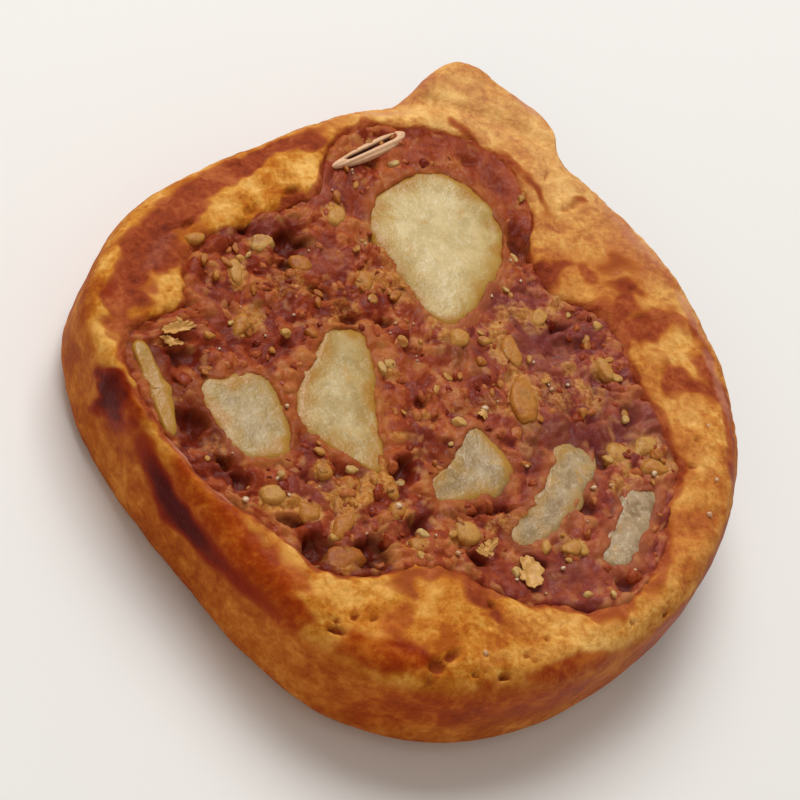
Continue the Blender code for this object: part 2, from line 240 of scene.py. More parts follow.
def smooth_closed(outline, steps=6):
    """The points of a closed outline, with smooth curves between them."""
    p0, p1, p2, p3 = (np.roll(outline, -k, axis=0)[:, None] for k in (-1, 0, 1, 2))
    t = np.arange(steps)[:, None] / steps
    bend = 2 * p0 - 5 * p1 + 4 * p2 - p3 + t * (3 * (p1 - p2) + p3 - p0)
    return (p1 + 0.5 * t * (p2 - p0 + t * bend)).reshape(-1, 2)


# Outlines as functions of the angle round the middle
def round_curve(knots, angles):
    """A smooth closed curve through (degrees, mm) knots, read at angles, in metres."""
    knots = np.array(knots, float)
    turn = (np.degrees(angles) - knots[0, 0]) % 360.0 + knots[0, 0]
    knots = np.concatenate([knots[-2:] - (360.0, 0.0), knots, knots[:3] + (360.0, 0.0)])
    after = np.searchsorted(knots[:, 0], turn, side="right")
    (at0, v0), (at1, v1), (at2, v2), (at3, v3) = (knots[after + k].T for k in (-2, -1, 0, 1))
    step = at2 - at1
    leaving = (v2 - v0) / (at2 - at0) * step
    arriving = (v3 - v1) / (at3 - at1) * step
    t = (turn - at1) / step
    return MM * (
        (2 * t**3 - 3 * t**2 + 1) * v1
        + (t**3 - 2 * t**2 + t) * leaving
        + (3 * t**2 - 2 * t**3) * v2
        + (t**3 - t**2) * arriving
    )


def body_radius(angles):
    radius = np.full_like(angles, MEAN_RADIUS)
    for lobes, height, peak in OUTLINE_LOBES:
        radius += height * MM * np.cos(lobes * (angles - math.radians(peak)))
    return radius


def outer_radius(angles):
    return body_radius(angles) + round_curve(FLAP_REACH, angles)


def dough_bump(x, y):
    """The soft bumps that the solids' cut face has too."""
    return BUMP_HEIGHT * np.array(
        [noise.noise(Vector((a, b, 0.0))) for a, b in zip(x / BUMP_SPACING, y / BUMP_SPACING)]
    )


def flap_drop(x, y):
    """The end of the dough sheet: a crease where it leaves the round, then a little lower."""
    angles = np.arctan2(y, x)
    beyond = np.hypot(x, y) - body_radius(angles) + FLAP_STEP
    out = np.minimum(1.0, round_curve(FLAP_REACH, angles) / FLAP_STEP)
    crease = np.exp(-((beyond - 0.8 * FLAP_STEP) / (0.5 * FLAP_STEP)) ** 2)
    return out * (FLAP_DROP * smooth_step(beyond, 0.0, FLAP_STEP) + CREASE_DEPTH * crease)


# Making pieces
def rounded_section(flat, curve, low, high, counts):
    """Half of a section, as (across, up): a flat foot, a wall between rounded corners, a flat top.

    The corners are as wide as curve, and the wall is straight from low to high.
    """
    foot, lower, wall, upper, top = counts
    section = [(flat * k / foot, 0.0) for k in range(foot)]
    for angle in np.radians(np.linspace(-90, 0, lower, endpoint=False)):
        section.append((flat + curve * math.cos(angle), low * (1 + math.sin(angle))))
    section += [(flat + curve, up) for up in np.linspace(low, high, wall, endpoint=False)]
    for angle in np.radians(np.linspace(0, 90, upper, endpoint=False)):
        section.append((flat + curve * math.cos(angle), 1 - (1 - high) * (1 - math.sin(angle))))
    section += [(flat * (1 - k / top), 1.0) for k in range(top)]
    return section + [(0.0, 1.0)]


def spun_template(section, steps, closed):
    """Spin a section, a list of (across, up), round Z; the shape is a template to be placed."""
    shape = bmesh.new()
    corners = [shape.verts.new((across, 0.0, up)) for across, up in section]
    edges = [shape.edges.new(pair) for pair in zip(corners, corners[1:])]
    if closed:
        edges.append(shape.edges.new((corners[-1], corners[0])))
    bmesh.ops.spin(
        shape, geom=edges, cent=(0, 0, 0), axis=(0, 0, 1),
        angle=2 * math.pi, steps=steps, use_merge=True,
    )
    bmesh.ops.remove_doubles(shape, verts=shape.verts, dist=1e-5)
    bmesh.ops.recalc_face_normals(shape, faces=shape.faces)
    return shape


def mesh_from(name, shape):
    mesh = bpy.data.meshes.new(name)
    shape.to_mesh(mesh)
    shape.free()
    return mesh


def points_of(mesh):
    places = np.empty(len(mesh.vertices) * 3)
    mesh.vertices.foreach_get("co", places)
    return places.reshape(-1, 3)


def template_rounds(mesh):
    """Each point of a spun template: its angle, its distance from the middle and its height."""
    x, y, up = points_of(mesh).T
    return np.arctan2(y, x), np.hypot(x, y), up


def set_points(mesh, *axes):
    placed = np.column_stack(axes) + MIDDLE
    placed[:, 2] = np.clip(placed[:, 2], 0.0, HIGHEST)
    mesh.vertices.foreach_set("co", placed.ravel())
    mesh.update()


def add_masks(mesh, **masks):
    for name, values in masks.items():
        mask = mesh.attributes.new(name, "FLOAT", "POINT")
        mask.data.foreach_set("value", np.clip(values, 0.0, 1.0).astype(np.float32))


def show(item):
    bpy.context.scene.collection.objects.link(item)
    return item


def make_piece(name, mesh, material, stands_for=None):
    mesh.shade_smooth()
    mesh.materials.append(material)
    piece = show(bpy.data.objects.new(name, mesh))
    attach(piece, "root")
    if stands_for:
        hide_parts(stands_for)


# Node material helpers
class Finish:
    """A Principled material whose colours are laid over each other by masks and noise."""

    def __init__(self, name):
        self.material = bpy.data.materials.new(name)
        self.material.use_nodes = True
        self.tree = self.material.node_tree
        self.shader = self.tree.nodes["Principled BSDF"]
        self.place = self.node("ShaderNodeTexCoord", "Object")
        self.colour = None
        self.fray = None

    def feed(self, socket, value):
        if isinstance(value, bpy.types.NodeSocket):
            self.tree.links.new(value, socket)
        elif isinstance(value, tuple):
            socket.default_value = (*value, 1.0)
        else:
            socket.default_value = value

    def node(self, kind, output, inputs=None, **settings):
        """Add a node, feed its inputs and give back one of its outputs."""
        made = self.tree.nodes.new(kind)
        for key, value in settings.items():
            setattr(made, key, value)
        for key, value in (inputs or {}).items():
            self.feed(made.inputs[key], value)
        return made.outputs[output]

    def combine(self, operation, first, second):
        return self.node("ShaderNodeMath", "Value", {0: first, 1: second}, operation=operation)

    def times(self, first, second):
        return self.combine("MULTIPLY", first, second)

    def plus(self, first, second):
        return self.combine("ADD", first, second)

    def weighted(self, first, *others):
        """The sum of (value, weight) pairs."""
        total = self.times(*first)
        for pair in others:
            total = self.plus(total, self.times(*pair))
        return total

    def mask(self, name, share=None):
        made = self.node("ShaderNodeAttribute", "Fac", attribute_name=name)
        return made if share is None else self.times(made, share)

    def frayed(self, name, low, high, amount, share=None):
        """A mask whose soft edge is broken up by the finish's own noise round zero."""
        mask = self.mask(name)
        broken = self.band(self.plus(mask, self.times(self.fray, amount)), low, high)
        made = self.times(broken, self.band(mask, 0.0, 0.15))
        return made if share is None else self.times(made, share)

    def grain(self, size, detail, roughness, warp=0.0):
        """Noise with features of a size in mm, 0 to 1."""
        return self.node("ShaderNodeTexNoise", "Fac", {
            "Vector": self.place, "Scale": 1.0 / (size * MM),
            "Detail": detail, "Roughness": roughness, "Distortion": warp,
        })

    def band(self, value, low, high, out_low=0.0, out_high=1.0):
        """A smooth step from one value to another where the input goes from low to high."""
        return self.node("ShaderNodeMapRange", "Result", {
            "Value": value, "From Min": low, "From Max": high, "To Min": out_low, "To Max": out_high,
        }, interpolation_type="SMOOTHSTEP")

    def blend(self, share, first, second):
        return self.node("ShaderNodeMix", 2, {0: share, 6: first, 7: second}, data_type="RGBA")

    def paint(self, share, colour):
        """Lay a colour over the ones so far."""
        self.colour = self.blend(share, self.colour, colour)

    def ramp(self, value, stops):
        """A colour read off a scale of (position, red, green, blue) stops."""
        output = self.node("ShaderNodeValToRGB", "Color", {"Fac": value})
        scale = output.node.color_ramp.elements
        while len(scale) < len(stops):
            scale.new(0.5)
        for step, (position, *colour) in zip(scale, stops):
            step.position = position
            step.color = (*colour, 1.0)
        return output

    def relief(self, height, distance, strength, under=None):
        """Small bumps with a distance in mm, over those of another relief."""
        inputs = {"Height": height, "Distance": distance * MM, "Strength": strength}
        if under:
            inputs["Normal"] = under
        return self.node("ShaderNodeBump", "Normal", inputs)

    def soften(self, weight, *radius):
        """Let light into the surface: how much, and how far red, green and blue go in mm."""
        self.shader.inputs["Subsurface Weight"].default_value = weight
        self.shader.inputs["Subsurface Scale"].default_value = 1.0
        self.shader.inputs["Subsurface Radius"].default_value = [MM * far for far in radius]

    def done(self, shine, specular, bump=None):
        self.feed(self.shader.inputs["Base Color"], self.colour)
        self.feed(self.shader.inputs["Roughness"], shine)
        self.feed(self.shader.inputs["Specular IOR Level"], specular)
        if bump:
            self.feed(self.shader.inputs["Normal"], bump)
        return self.material


# Dough: patches are x, y, length, width in mm, turn in degrees and strength
GLAZE_POOLS = (
    (-22.6, -12.5, 10, 4.2, -68, 1), (-20.2, -17.5, 8, 5, -55, 1), (-18.8, -21.3, 4.6, 3.8, -40, 1),
    (-11.4, -25.3, 8.6, 3.4, -8, 1), (-9.9, -22.8, 4.6, 2.2, 45, 0.6), (-17.6, -18.6, 4, 3, -50, 0.7),
    (-28.2, -3.2, 5, 4, 80, 0.9), (-5, -30.4, 26, 4.5, 3, 0.7), (4.4, -27.2, 9.5, 1.9, 14, 0.9),
    (13.6, -24.8, 13, 1.7, 38, 0.8), (20.8, -17.2, 10, 1.3, 52, 0.7), (25.4, -6, 10, 1.3, 78, 0.7),
    (-26.6, -7.4, 5, 1.8, 88, 0.8),
)
# Paler golden crust, partly painted highlight on the flap and the ridges
PALE_PATCHES = (
    (-14.2, -19.8, 5, 2.8, -25, 1), (-17.8, -14.2, 4.4, 2, -40, 0.8),
    (-16.6, -16.8, 2.6, 1.8, -60, 0.8), (-10.5, -19.4, 4, 1.2, 5, 0.5), (3.5, -23.2, 10, 3, 6, 0.55),
    (-7.8, 20, 6, 2.8, 20, 0.45), (-12, 18.4, 3.6, 2.4, 25, 0.5), (-15.3, 16.6, 4, 2.8, 35, 0.45),
    (-21.5, 7.6, 4.6, 3.8, 34, 0.55), (10, 29, 7, 5, 30, 0.9), (14, 27, 6, 5, -50, 0.9),
    (16.8, 24, 6, 5, -45, 1), (18.4, 20.6, 7, 4, -50, 1), (12.5, 25.5, 7, 2, -20, 0.7),
    (15.4, 18.4, 6, 3, -70, 0.9), (14.4, 13.8, 5, 3.8, -40, 0.5), (14.8, 8.4, 3, 2, 10, 0.6),
    (21.4, 2.2, 5, 2.4, 15, 0.55), (21.8, -3.4, 5, 4, 0, 0.5), (22, -8.6, 3, 5, 0, 0.5),
    (23.6, 8.2, 6, 2.6, -65, 0.6), (4, 27.2, 10, 2, 4, 0.8), (-28.4, 5, 9, 2.6, 66, 0.5),
    (8.6, 26.6, 6, 2.4, 10, 0.9), (-25.4, 12, 5, 1, 52, 0.8), (-20.4, 17, 8, 1, 36, 0.8),
    (-12.6, 21.8, 9, 1, 24, 0.7), (-19.4, -14.6, 2.6, 1.6, -50, 0.7), (-17, -17.4, 3, 1.6, -60, 0.8),
    (6, -24.6, 9, 3.4, 12, 0.6), (-29, -8, 7, 2.6, -72, 0.6), (-26.8, -16, 10, 3, -62, 0.6),
    (12, -24, 8, 2.6, 32, 0.6), (1, -26, 12, 2.2, 4, 0.7), (7, -26.6, 6, 1.6, 16, 0.7),
)
RED_STAINS = (
    (20.4, 4.9, 6.4, 2.6, 10, 1), (19.5, 8.8, 2.8, 2.6, 0, 0.85), (17, 4.8, 3.5, 2.4, 0, 0.9),
    (16.5, 6.6, 3.6, 2, -20, 0.7), (12.8, 10, 3.8, 1.5, 30, 1), (17.2, 10.4, 2.6, 1.8, 60, 0.6),
    (19.2, 6.8, 3, 2.4, 0, 0.8), (14.6, 10.9, 2.6, 1, -10, 0.6), (11.8, 10.4, 3, 2, 20, 0.9),
    (19.5, 12, 3, 3, 0, 0.5), (23.3, -1, 3.6, 2.2, -50, 0.9), (24.8, 1, 4, 1.3, -80, 0.7),
    (18.2, 18, 1.8, 1.2, 0, 0.5), (15.6, -16.5, 3.8, 1.5, 60, 0.7), (14.3, -19, 2.2, 1.6, 30, 0.5),
    (17.6, -10.5, 2.6, 1.7, 30, 0.8), (-6.5, -19, 6, 1.2, 3, 0.5), (-2, -20.5, 3, 1.8, -40, 0.65),
    (-1.2, -22.3, 2, 1.4, 0, 0.7), (0.8, -21, 2.6, 1.3, 0, 0.6), (-3, -18.8, 2.4, 1.4, 0, 0.5),
    (9.6, -21.6, 3.2, 1, 20, 0.5), (-24.5, 4.6, 5.4, 2.2, -15, 0.9), (-20.8, 12.4, 4.8, 2.6, 48, 0.9),
    (-18.4, 12.4, 3.6, 2.4, 50, 0.5), (-24.9, 7.9, 4.2, 2.8, 60, 0.85), (-22.2, 12.8, 5, 2.4, 45, 0.8),
    (-26, 7.2, 2.2, 2.4, 0, 0.8), (-5.8, 24, 5.4, 1.8, 22, 0.9), (-9.5, 22.8, 4.4, 1.2, 22, 0.6),
    (14.2, 18.4, 5, 1.4, -80, 0.6), (22.4, -0.4, 4.6, 2.8, -50, 1), (-24.2, -4.4, 4, 1.2, -80, 0.7),
    (-20.4, -12, 4, 1, -50, 0.6), (13.4, 21.4, 5, 1.2, -62, 0.6), (10.6, 24.4, 4, 1, -30, 0.6),
    (25.6, 1, 8, 1.4, -85, 0.9), (-18.1, 15.9, 7, 1.5, 38, 0.7), (-12.6, 20.8, 6, 1.4, 28, 0.6),
    (-23.8, 10.8, 4.6, 1.4, 56, 0.6),
)
# Where the crust has browned to orange
ORANGE_PATCHES = (
    (17, 10, 8, 6, -40, 0.7), (20, 6.5, 7, 5, 0, 0.6), (21, 12, 7, 5, -60, 0.75),
    (22, -1.5, 5, 5, 0, 0.4), (16, -17, 8, 2.5, 50, 0.45), (10, -21.5, 8, 2, 20, 0.4),
    (-4, -19.5, 10, 2.5, 0, 0.5), (-15, 20, 14, 2.5, 35, 0.45), (-20, 13, 8, 3, 40, 0.5),
    (-22, -13, 14, 6, -60, 0.5), (-11, -24, 10, 5, 0, 0.5), (21.5, 15.5, 6, 2, -55, 0.5),
    (12, 30.5, 5, 1.6, -10, 0.5), (19, 15.5, 3, 4, 0, 0.4), (-1, 26.4, 7, 1.2, 4, 0.5),
    (-8, 23.8, 10, 1.6, 22, 0.6), (23, -12, 8, 1.6, 62, 0.5), (18.6, -15.4, 12, 4.4, 54, 0.9),
    (19.6, -8, 3, 8, 0, 0.6),
)
# Pinkish crust along the edges, partly painted pinkish gloss highlight on the ridges
PINK_EDGES = (
    (-23.2, -7.2, 5.4, 1, -64, 0.9), (-21.3, -10.8, 3.2, 1, -55, 0.8), (16.6, 28.4, 5, 1.2, -50, 0.8),
    (23, 14, 9, 2.4, -64, 0.6), (25.7, 6, 6, 1.5, -76, 0.6), (26, -1, 8, 1.2, 90, 0.6),
    (-21.2, 12.2, 6, 1.8, 50, 0.4), (3, 26.9, 6, 0.9, 4, 0.5),
)
# The dark line of syrup: x, y, half its width in mm, and how dark it is
SYRUP_LINE = (
    (-27, -6, 1, 0.4), (-26.6, -9, 1.3, 0.75), (-26.1, -11.5, 1.5, 1), (-25.4, -13.8, 1.5, 0.95),
    (-23.8, -16.6, 1.3, 0.6), (-21.7, -19.4, 1.2, 0.5), (-19.4, -22, 1.2, 0.3),
)
DARK_SPOT = (
    (-28.6, -2.4, 4.6, 3.6, 70, 0.75), (-27, -4.6, 3.4, 2, -60, 0.5), (-26.6, 8, 2, 1.6, 0, 0.4),
)
# The filling that shows between the roll's last two turns: degrees, mm inside the edge, half width
GROOVE = (
    (98, 1.9, 0.6), (112, 2, 0.8), (125, 2.4, 1.2), (140, 3.2, 1.45), (151, 3.5, 1.6), (158, 3.2, 1.3),
    (165, 2.6, 1),
)
GROOVE_DEPTH = 0.4 * MM
# Pits in the dough: x, y, length, width in mm, turn in degrees, depth in mm
DOUGH_PITS = (
    (-7.3, -26.5, 1.2, 0.9, 30, 0.6), (-5.9, -25.7, 1.1, 0.5, 25, 0.5),
    (-8.5, -27.9, 0.8, 0.4, 60, 0.3), (-2, -27.7, 0.9, 0.5, 10, 0.5), (-4.4, -27.4, 0.4, 0.4, 0, 0.4),
    (-14.9, -23.2, 1.1, 0.5, -10, 0.5), (-13, -22, 0.7, 0.4, 40, 0.4),
    (-14.6, -22.3, 0.5, 0.4, 0, 0.4), (-11.4, -22.2, 1, 0.3, 20, 0.3), (-1.4, -21.5, 0.7, 0.6, 0, 0.5),
    (0.4, -25.9, 0.5, 0.3, 0, 0.3), (13.8, -22.8, 0.7, 0.4, 30, 0.4), (10.6, -23.4, 0.6, 0.4, 0, 0.3),
    (20.6, -9.1, 0.8, 0.4, 0, 0.35), (21.8, -6.6, 0.6, 0.4, 0, 0.3), (-12.4, 16.2, 1.6, 0.5, 30, 0.2),
    (17.6, 17.6, 2.4, 0.5, 30, 0.25), (-18.4, 14.6, 1, 0.5, 30, 0.5), (16, 20.6, 1.2, 0.3, 50, 0.3),
    (-8.4, 18.2, 1.2, 0.5, 20, 0.4), (2.6, -24.6, 0.5, 0.4, 0, 0.3),
)
# The crust's own relief starts a little inside the solid's outline
SKIN = 0.12 * MM
# How much of the section is flat, from its inner edge to where it rounds over
FLAT_SHARE = 0.6
ROUND_SHARE = 0.4
RING_STEPS = 640


def dough_section():
    """The ring's closed section, across 0 inside to 1 outside and up 0 to 1, in fine steps."""
    section = rounded_section(FLAT_SHARE, ROUND_SHARE, 0.24, 0.7, (7, 7, 13, 20, 28))
    return section + [(0.0, up) for up in (0.93, 0.85, 0.7, 0.5, 0.25)]


def groove_cover(x, y):
    """The reddish line of filling between the roll's last two turns, upper left."""
    angles = np.arctan2(y, x)
    degrees = np.degrees(angles) % 360.0
    turns, insets, widths = zip(*GROOVE)
    inset = np.interp(degrees, turns, insets) * MM
    half = np.interp(degrees, turns, widths) * MM
    wander = MM * uneven(flat_places(x, y), (0.35, 3.0, 21), (0.25, 0.9, 22))
    off = np.abs(body_radius(angles) - np.hypot(x, y) - inset + wander)
    ends = smooth_step(degrees, 94, 106) * smooth_step(degrees, 168, 160)
    return smooth_step(off, 1.3 * half, 0.3 * half) * ends


def syrup_cover(x, y, places):
    """The dark line of syrup and its spots."""
    line_x, line_y, half_widths, darks = np.array(SYRUP_LINE).T
    away, along = distance_to_line(x, y, np.column_stack([line_x, line_y]))
    share = np.linspace(0, 1, len(SYRUP_LINE))
    width = np.interp(along, share, half_widths) * MM * (1 + 0.35 * soft_noise(places, 1.6 * MM, 41))
    line = smooth_step(away, 1.6 * width, 0.1 * width) * np.interp(along, share, darks)
    return np.maximum(line, patches(x, y, DARK_SPOT, 42, 0.5, 0.9))


def make_dough(material):
    ring = [(1.0 + across, up) for across, up in dough_section()]
    mesh = mesh_from("dough_rim", spun_template(ring, RING_STEPS, closed=True))
    angles, distance, up = template_rounds(mesh)
    across = distance - 1.0
    outside = across > FLAT_SHARE

    edge = round_curve(FILLING_EDGE, angles)
    inner = edge + MM * uneven(flat_places(*from_angle(edge, angles)), (0.3, 1.8, 1), (0.2, 0.7, 2))
    outer = outer_radius(angles) - SKIN
    rounding = np.minimum(EDGE_ROUNDING, MOST_ROUNDING_OF_BAND * (outer - inner))
    rounding *= 1 - FLAP_SHARPNESS * np.minimum(1.0, round_curve(FLAP_REACH, angles) / FLAP_STEP)
    radius = np.where(
        outside,
        outer - rounding * (1.0 - across) / ROUND_SHARE,
        inner + (outer - rounding - inner) * across / FLAT_SHARE,
    )
    swell = np.array([noise.noise(Vector((a * 4, 0, 0))) for a in angles])
    radius += np.where(outside, WALL_SWELL * np.sin(math.pi * up) * swell, 0.0)
    x, y = from_angle(radius, angles)
    z = up * (THICKNESS + dough_bump(x, y) - flap_drop(x, y))

    # The shoulder and the wall that the camera sees take their paint from where they show
    below = np.clip(THICKNESS - z, 0.0, None)
    toward = SIGHT_SIDE[0] * np.cos(angles) + SIGHT_SIDE[1] * np.sin(angles)
    facing = smooth_step(toward, -0.3, 0.1)
    paint_x = x + SIGHT_SLIDE[0] * below * facing
    paint_y = y + SIGHT_SLIDE[1] * below * facing
    places = np.column_stack([x, y, z])

    wall = smooth_step(across, 0.62, 0.95)
    top = smooth_step(up, 0.62, 0.8)
    from_edge = radius - inner
    groove = groove_cover(x, y) * top
    pools = patches(paint_x, paint_y, GLAZE_POOLS, 31, 0.25, 0.5)
    stray_x = paint_x + MM * uneven(places, (1.0, 2.6, 33), (0.4, 1.0, 34))
    stray_y = paint_y + MM * uneven(places, (1.0, 2.6, 50), (0.4, 1.0, 32))
    stain = patches(stray_x, stray_y, RED_STAINS, 37, 0.5, 0.75)
    ragged = 0.5 + uneven(places, (0.5, 2.2, 39), (0.25, 0.8, 40))
    lip = smooth_step(from_edge, (0.3 + 2.2 * ragged) * MM, -0.2 * MM) * top
    smear = smooth_step(from_edge, (0.2 + 1.5 * ragged) * MM, 0.0) * top
    stain = np.maximum(stain, np.maximum(0.95 * groove, smear * smooth_step(ragged, 0.1, 0.6)))
    syrup = syrup_cover(paint_x, paint_y, places)

    # Relief: pits, the groove, the lip over the filling, and a fine crumb where there's no glaze
    pit = patches(paint_x, paint_y, grown(DOUGH_PITS, 1.2, 1.3), 43, 0.2) * smooth_step(up, 0.5, 0.7)
    crumb = uneven(places, (0.16, 1.7, 45), (0.06, 0.6, 46))
    nearest, second, own = pebbles(x, y, 1.3 * MM, 47)
    crumb += 0.16 * (smooth_step(second - nearest, 0.0, 0.6) - 0.6) * own
    bare = 1.0 - 0.75 * np.maximum(pools, syrup)
    z += top * (bare * crumb - pit) * MM
    dip = 0.2 * lip**2 + 0.45 * np.clip(1 - from_edge / (1.3 * MM), 0.0, 1.0) ** 2
    z -= top * (GROOVE_DEPTH * groove + dip * MM + 0.12 * MM * pools * (1 - wall))
    dent = np.minimum(uneven(places, (0.14, 4.0, 48), (0.05, 1.2, 49)), 0.06)
    radius += np.where(outside, wall * dent * MM, 0.0)
    z = np.where(up < 1e-4, 0.0, np.maximum(z, 0.0))
    set_points(mesh, *from_angle(radius, angles), z)
    add_masks(
        mesh,
        glaze=pools,
        # Paler crust together with painted highlight
        pale=patches(paint_x, paint_y, PALE_PATCHES, 35, 0.35, 0.5) * (1 - 0.7 * wall),
        stain=stain,
        # Pinkish crust and painted gloss highlight on the edges
        pink=patches(paint_x, paint_y, PINK_EDGES, 38, 0.3, 0.5),
        orange=patches(stray_x, stray_y, ORANGE_PATCHES, 36, 0.5, 0.8),
        syrup=syrup,
        # Painted shade in the pits
        pit=smooth_step(pit, 0.08, 0.45),
        side=wall * smooth_step(below, 0.9 * MM, 3.0 * MM),
        # Painted light: a warm glow toward the upper right
        haze=smooth_step(0.5 * x + 0.86 * y, 14 * MM, 28 * MM),
        # Painted light: a cool tint toward the right
        cool=smooth_step(x, -8 * MM, 18 * MM),
        under=smooth_step(z, 2.2 * MM, 0.2 * MM),
    )
    make_piece("dough_rim", mesh, material, "dough")


# Filling: a coarse paste with pits, and wells for the fat
SMOOTH_PASTE = (
    (10.8, 20.4, 9, 4.4, -62, 1), (5.5, 23.2, 9, 2.6, 5, 0.9), (12.6, 16, 3, 2.6, 0, 0.9),
    (6.5, -19.2, 8, 3.4, 0, 0.75), (1, -18.4, 4, 2.4, 0, 0.6), (-6.6, 19, 4, 3, 60, 0.6),
    (-8, 11.8, 5, 2.6, -15, 0.55), (10, 3, 5, 3, 20, 0.5), (-2.8, 17.6, 4, 2, 80, 0.5),
)
PURPLE_ZONES = (
    (-8, 11.8, 6, 3.4, -15, 1), (11.4, 3, 9, 4.2, 15, 1), (7.6, 7.4, 3, 3, 45, 0.6),
    (17, -4.6, 4, 4, 0, 0.8), (5.5, -18.8, 9, 3.6, 0, 0.7), (-13.2, -10.6, 4, 2.6, -20, 0.8),
    (-11, -15, 4, 3, 0, 0.7), (-8, -13.6, 6, 3, 0, 0.5), (-17.5, 7, 3, 4, 0, 0.5),
    (-5.6, 19.2, 5, 3, 40, 0.8), (14.5, -0.8, 3, 5, 0, 0.7), (-12.6, 14.6, 5, 2, 20, 0.7),
    (10.6, 8, 4, 3, 30, 0.7),
)
# Where the paste is mixed with orange crumbs
GOLDEN_ZONES = (
    (-9.8, -10.4, 6.4, 3.6, 20, 1), (10.2, -1.8, 3, 4, 10, 0.6), (8.6, 6.4, 3, 2.4, 0, 0.5),
    (1.6, -2.2, 3, 2.4, 0, 0.5), (-1.2, 9.4, 2, 5, 20, 0.6), (-7.4, -8.9, 2.2, 1.5, 60, 0.7),
    (-12.2, -8.6, 1.8, 1.5, 0, 0.9), (-12.4, -17, 3.6, 2.6, 0, 1), (-11.8, -13.6, 3.8, 1.4, 42, 0.9),
    (-14.2, -12.4, 2.2, 2, 0, 0.9), (-17, -11.6, 2.8, 1.6, 0, 0.9), (-7, -12.8, 1.8, 1.3, 0, 0.6),
    (-7.2, -15.8, 1.8, 1.3, 0, 0.6), (7.2, -2.2, 6.4, 3, 82, 1), (6.4, 3, 3.8, 1.9, 85, 0.9),
    (2.6, 3.9, 2.4, 1.4, 10, 0.9), (10.4, 5.8, 2.6, 1.9, 80, 0.8), (12.8, 7.2, 2.6, 1.4, 50, 0.8),
    (13.4, -1.6, 2, 3.6, 20, 0.7), (15.4, 1, 1.8, 1.6, 0, 0.8), (12.6, 0.8, 1.4, 1.2, 0, 0.7),
    (13.6, -2.2, 2.4, 1, 60, 0.7), (-3.2, 9.5, 4.2, 2.4, 80, 0.5), (-9.5, 11.2, 2.2, 1.4, 0, 0.6),
    (-15, 9.9, 2.8, 1.5, 75, 0.9), (-16.4, 4.2, 2.4, 1.3, 75, 0.7), (-14.7, 5.5, 2.6, 1.5, 70, 0.8),
    (-3.4, 0.3, 2.4, 1.2, 0, 0.7), (-1.9, -3.6, 1.2, 1.1, 0, 0.9), (-4.9, -5.6, 1.8, 1, 0, 0.6),
    (-4.9, 16, 1.8, 2, 0, 0.9), (-1.2, -15.2, 2.2, 1.9, 0, 0.8), (0.8, -14.4, 1.5, 1.4, 0, 0.6),
    (14.6, -6.8, 2.8, 1.9, 0, 0.8), (15, -9.2, 1.8, 1.7, 0, 0.8), (7.2, -15.4, 2.2, 1.2, 0, 0.9),
    (1.5, 5, 3, 1.4, -30, 0.6), (18.4, -8.6, 3, 1.8, 0, 0.8), (-20.8, -6.4, 3, 1.6, -60, 0.5),
    (-6.4, 6.6, 3.6, 2.6, 20, 0.5), (-10.6, 8.8, 3.6, 2.4, -20, 0.5), (4, -2.4, 2.4, 2, 0, 0.6),
    (3, -14, 2.6, 2, 0, 0.6), (14, -1.8, 2.6, 2.6, 0, 0.6), (13.4, -10.4, 2.4, 2, 0, 0.6),
)
# Where the paste lies lower than the dough beside it
SUNK_PASTE = (
    (-24, -3, 6, 18, 8, 1), (-8.6, 18.8, 8, 4, 22, 1), (-17.8, -14.6, 7, 4, -48, 1),
)
# Pits in the filling: x, y, length, width in mm, turn in degrees, depth in mm
FILLING_PITS = (
    (-9.2, 13.2, 2.8, 1.9, 0, 1.5), (-13.6, 14, 1.5, 1.1, 20, 1), (-7.7, 7.9, 1.6, 0.9, 0, 1),
    (-6.3, 5.4, 1.8, 0.9, 10, 1), (-3.4, 5.4, 1.8, 0.9, 10, 1), (-21.9, 1.9, 2.2, 1.1, 0, 1),
    (-22, -4.2, 1.5, 3, 10, 1.6), (-20.3, -7.9, 1.2, 1.1, 0, 1.1), (-19, -9.3, 1.2, 0.9, 0, 1),
    (-14.6, -16, 1.5, 2, 0, 1.4), (-10.1, -16.5, 1.7, 2.5, -15, 1.6), (-5.2, -8.6, 1.6, 1.4, 40, 1.2),
    (-5.4, -13.8, 1.1, 1, 0, 1.1), (11.4, 13.2, 1.2, 2.4, 0, 1), (12.9, 5.2, 2, 0.7, 10, 1),
    (12.7, -7.4, 1.1, 2, -20, 1.4), (-1, -17.4, 1.8, 1, -20, 1.2), (4, -17.6, 1.2, 1, 0, 0.9),
    (-1.6, -2.2, 0.9, 0.7, 0, 0.9), (-1.7, 2.4, 1.2, 0.8, 0, 0.9), (9.8, -12.6, 0.9, 1.6, 20, 0.9),
    (16.8, -3.6, 1.8, 1.6, 0, 1), (-12.6, 3, 1.2, 0.9, 40, 0.9), (-16, -12.9, 1.4, 1, -30, 1),
    (-10.8, 11, 1.2, 0.9, 0, 0.9), (1.2, -12.7, 4, 0.6, 2, 0.9), (11.5, -19.3, 2.4, 0.8, 30, 0.9),
    (13, 3.6, 3, 1.2, 10, 0.6), (-21.6, 3.4, 1.6, 0.7, 0, 0.8), (-13.4, -9.6, 1.4, 1, 0, 0.7),
)
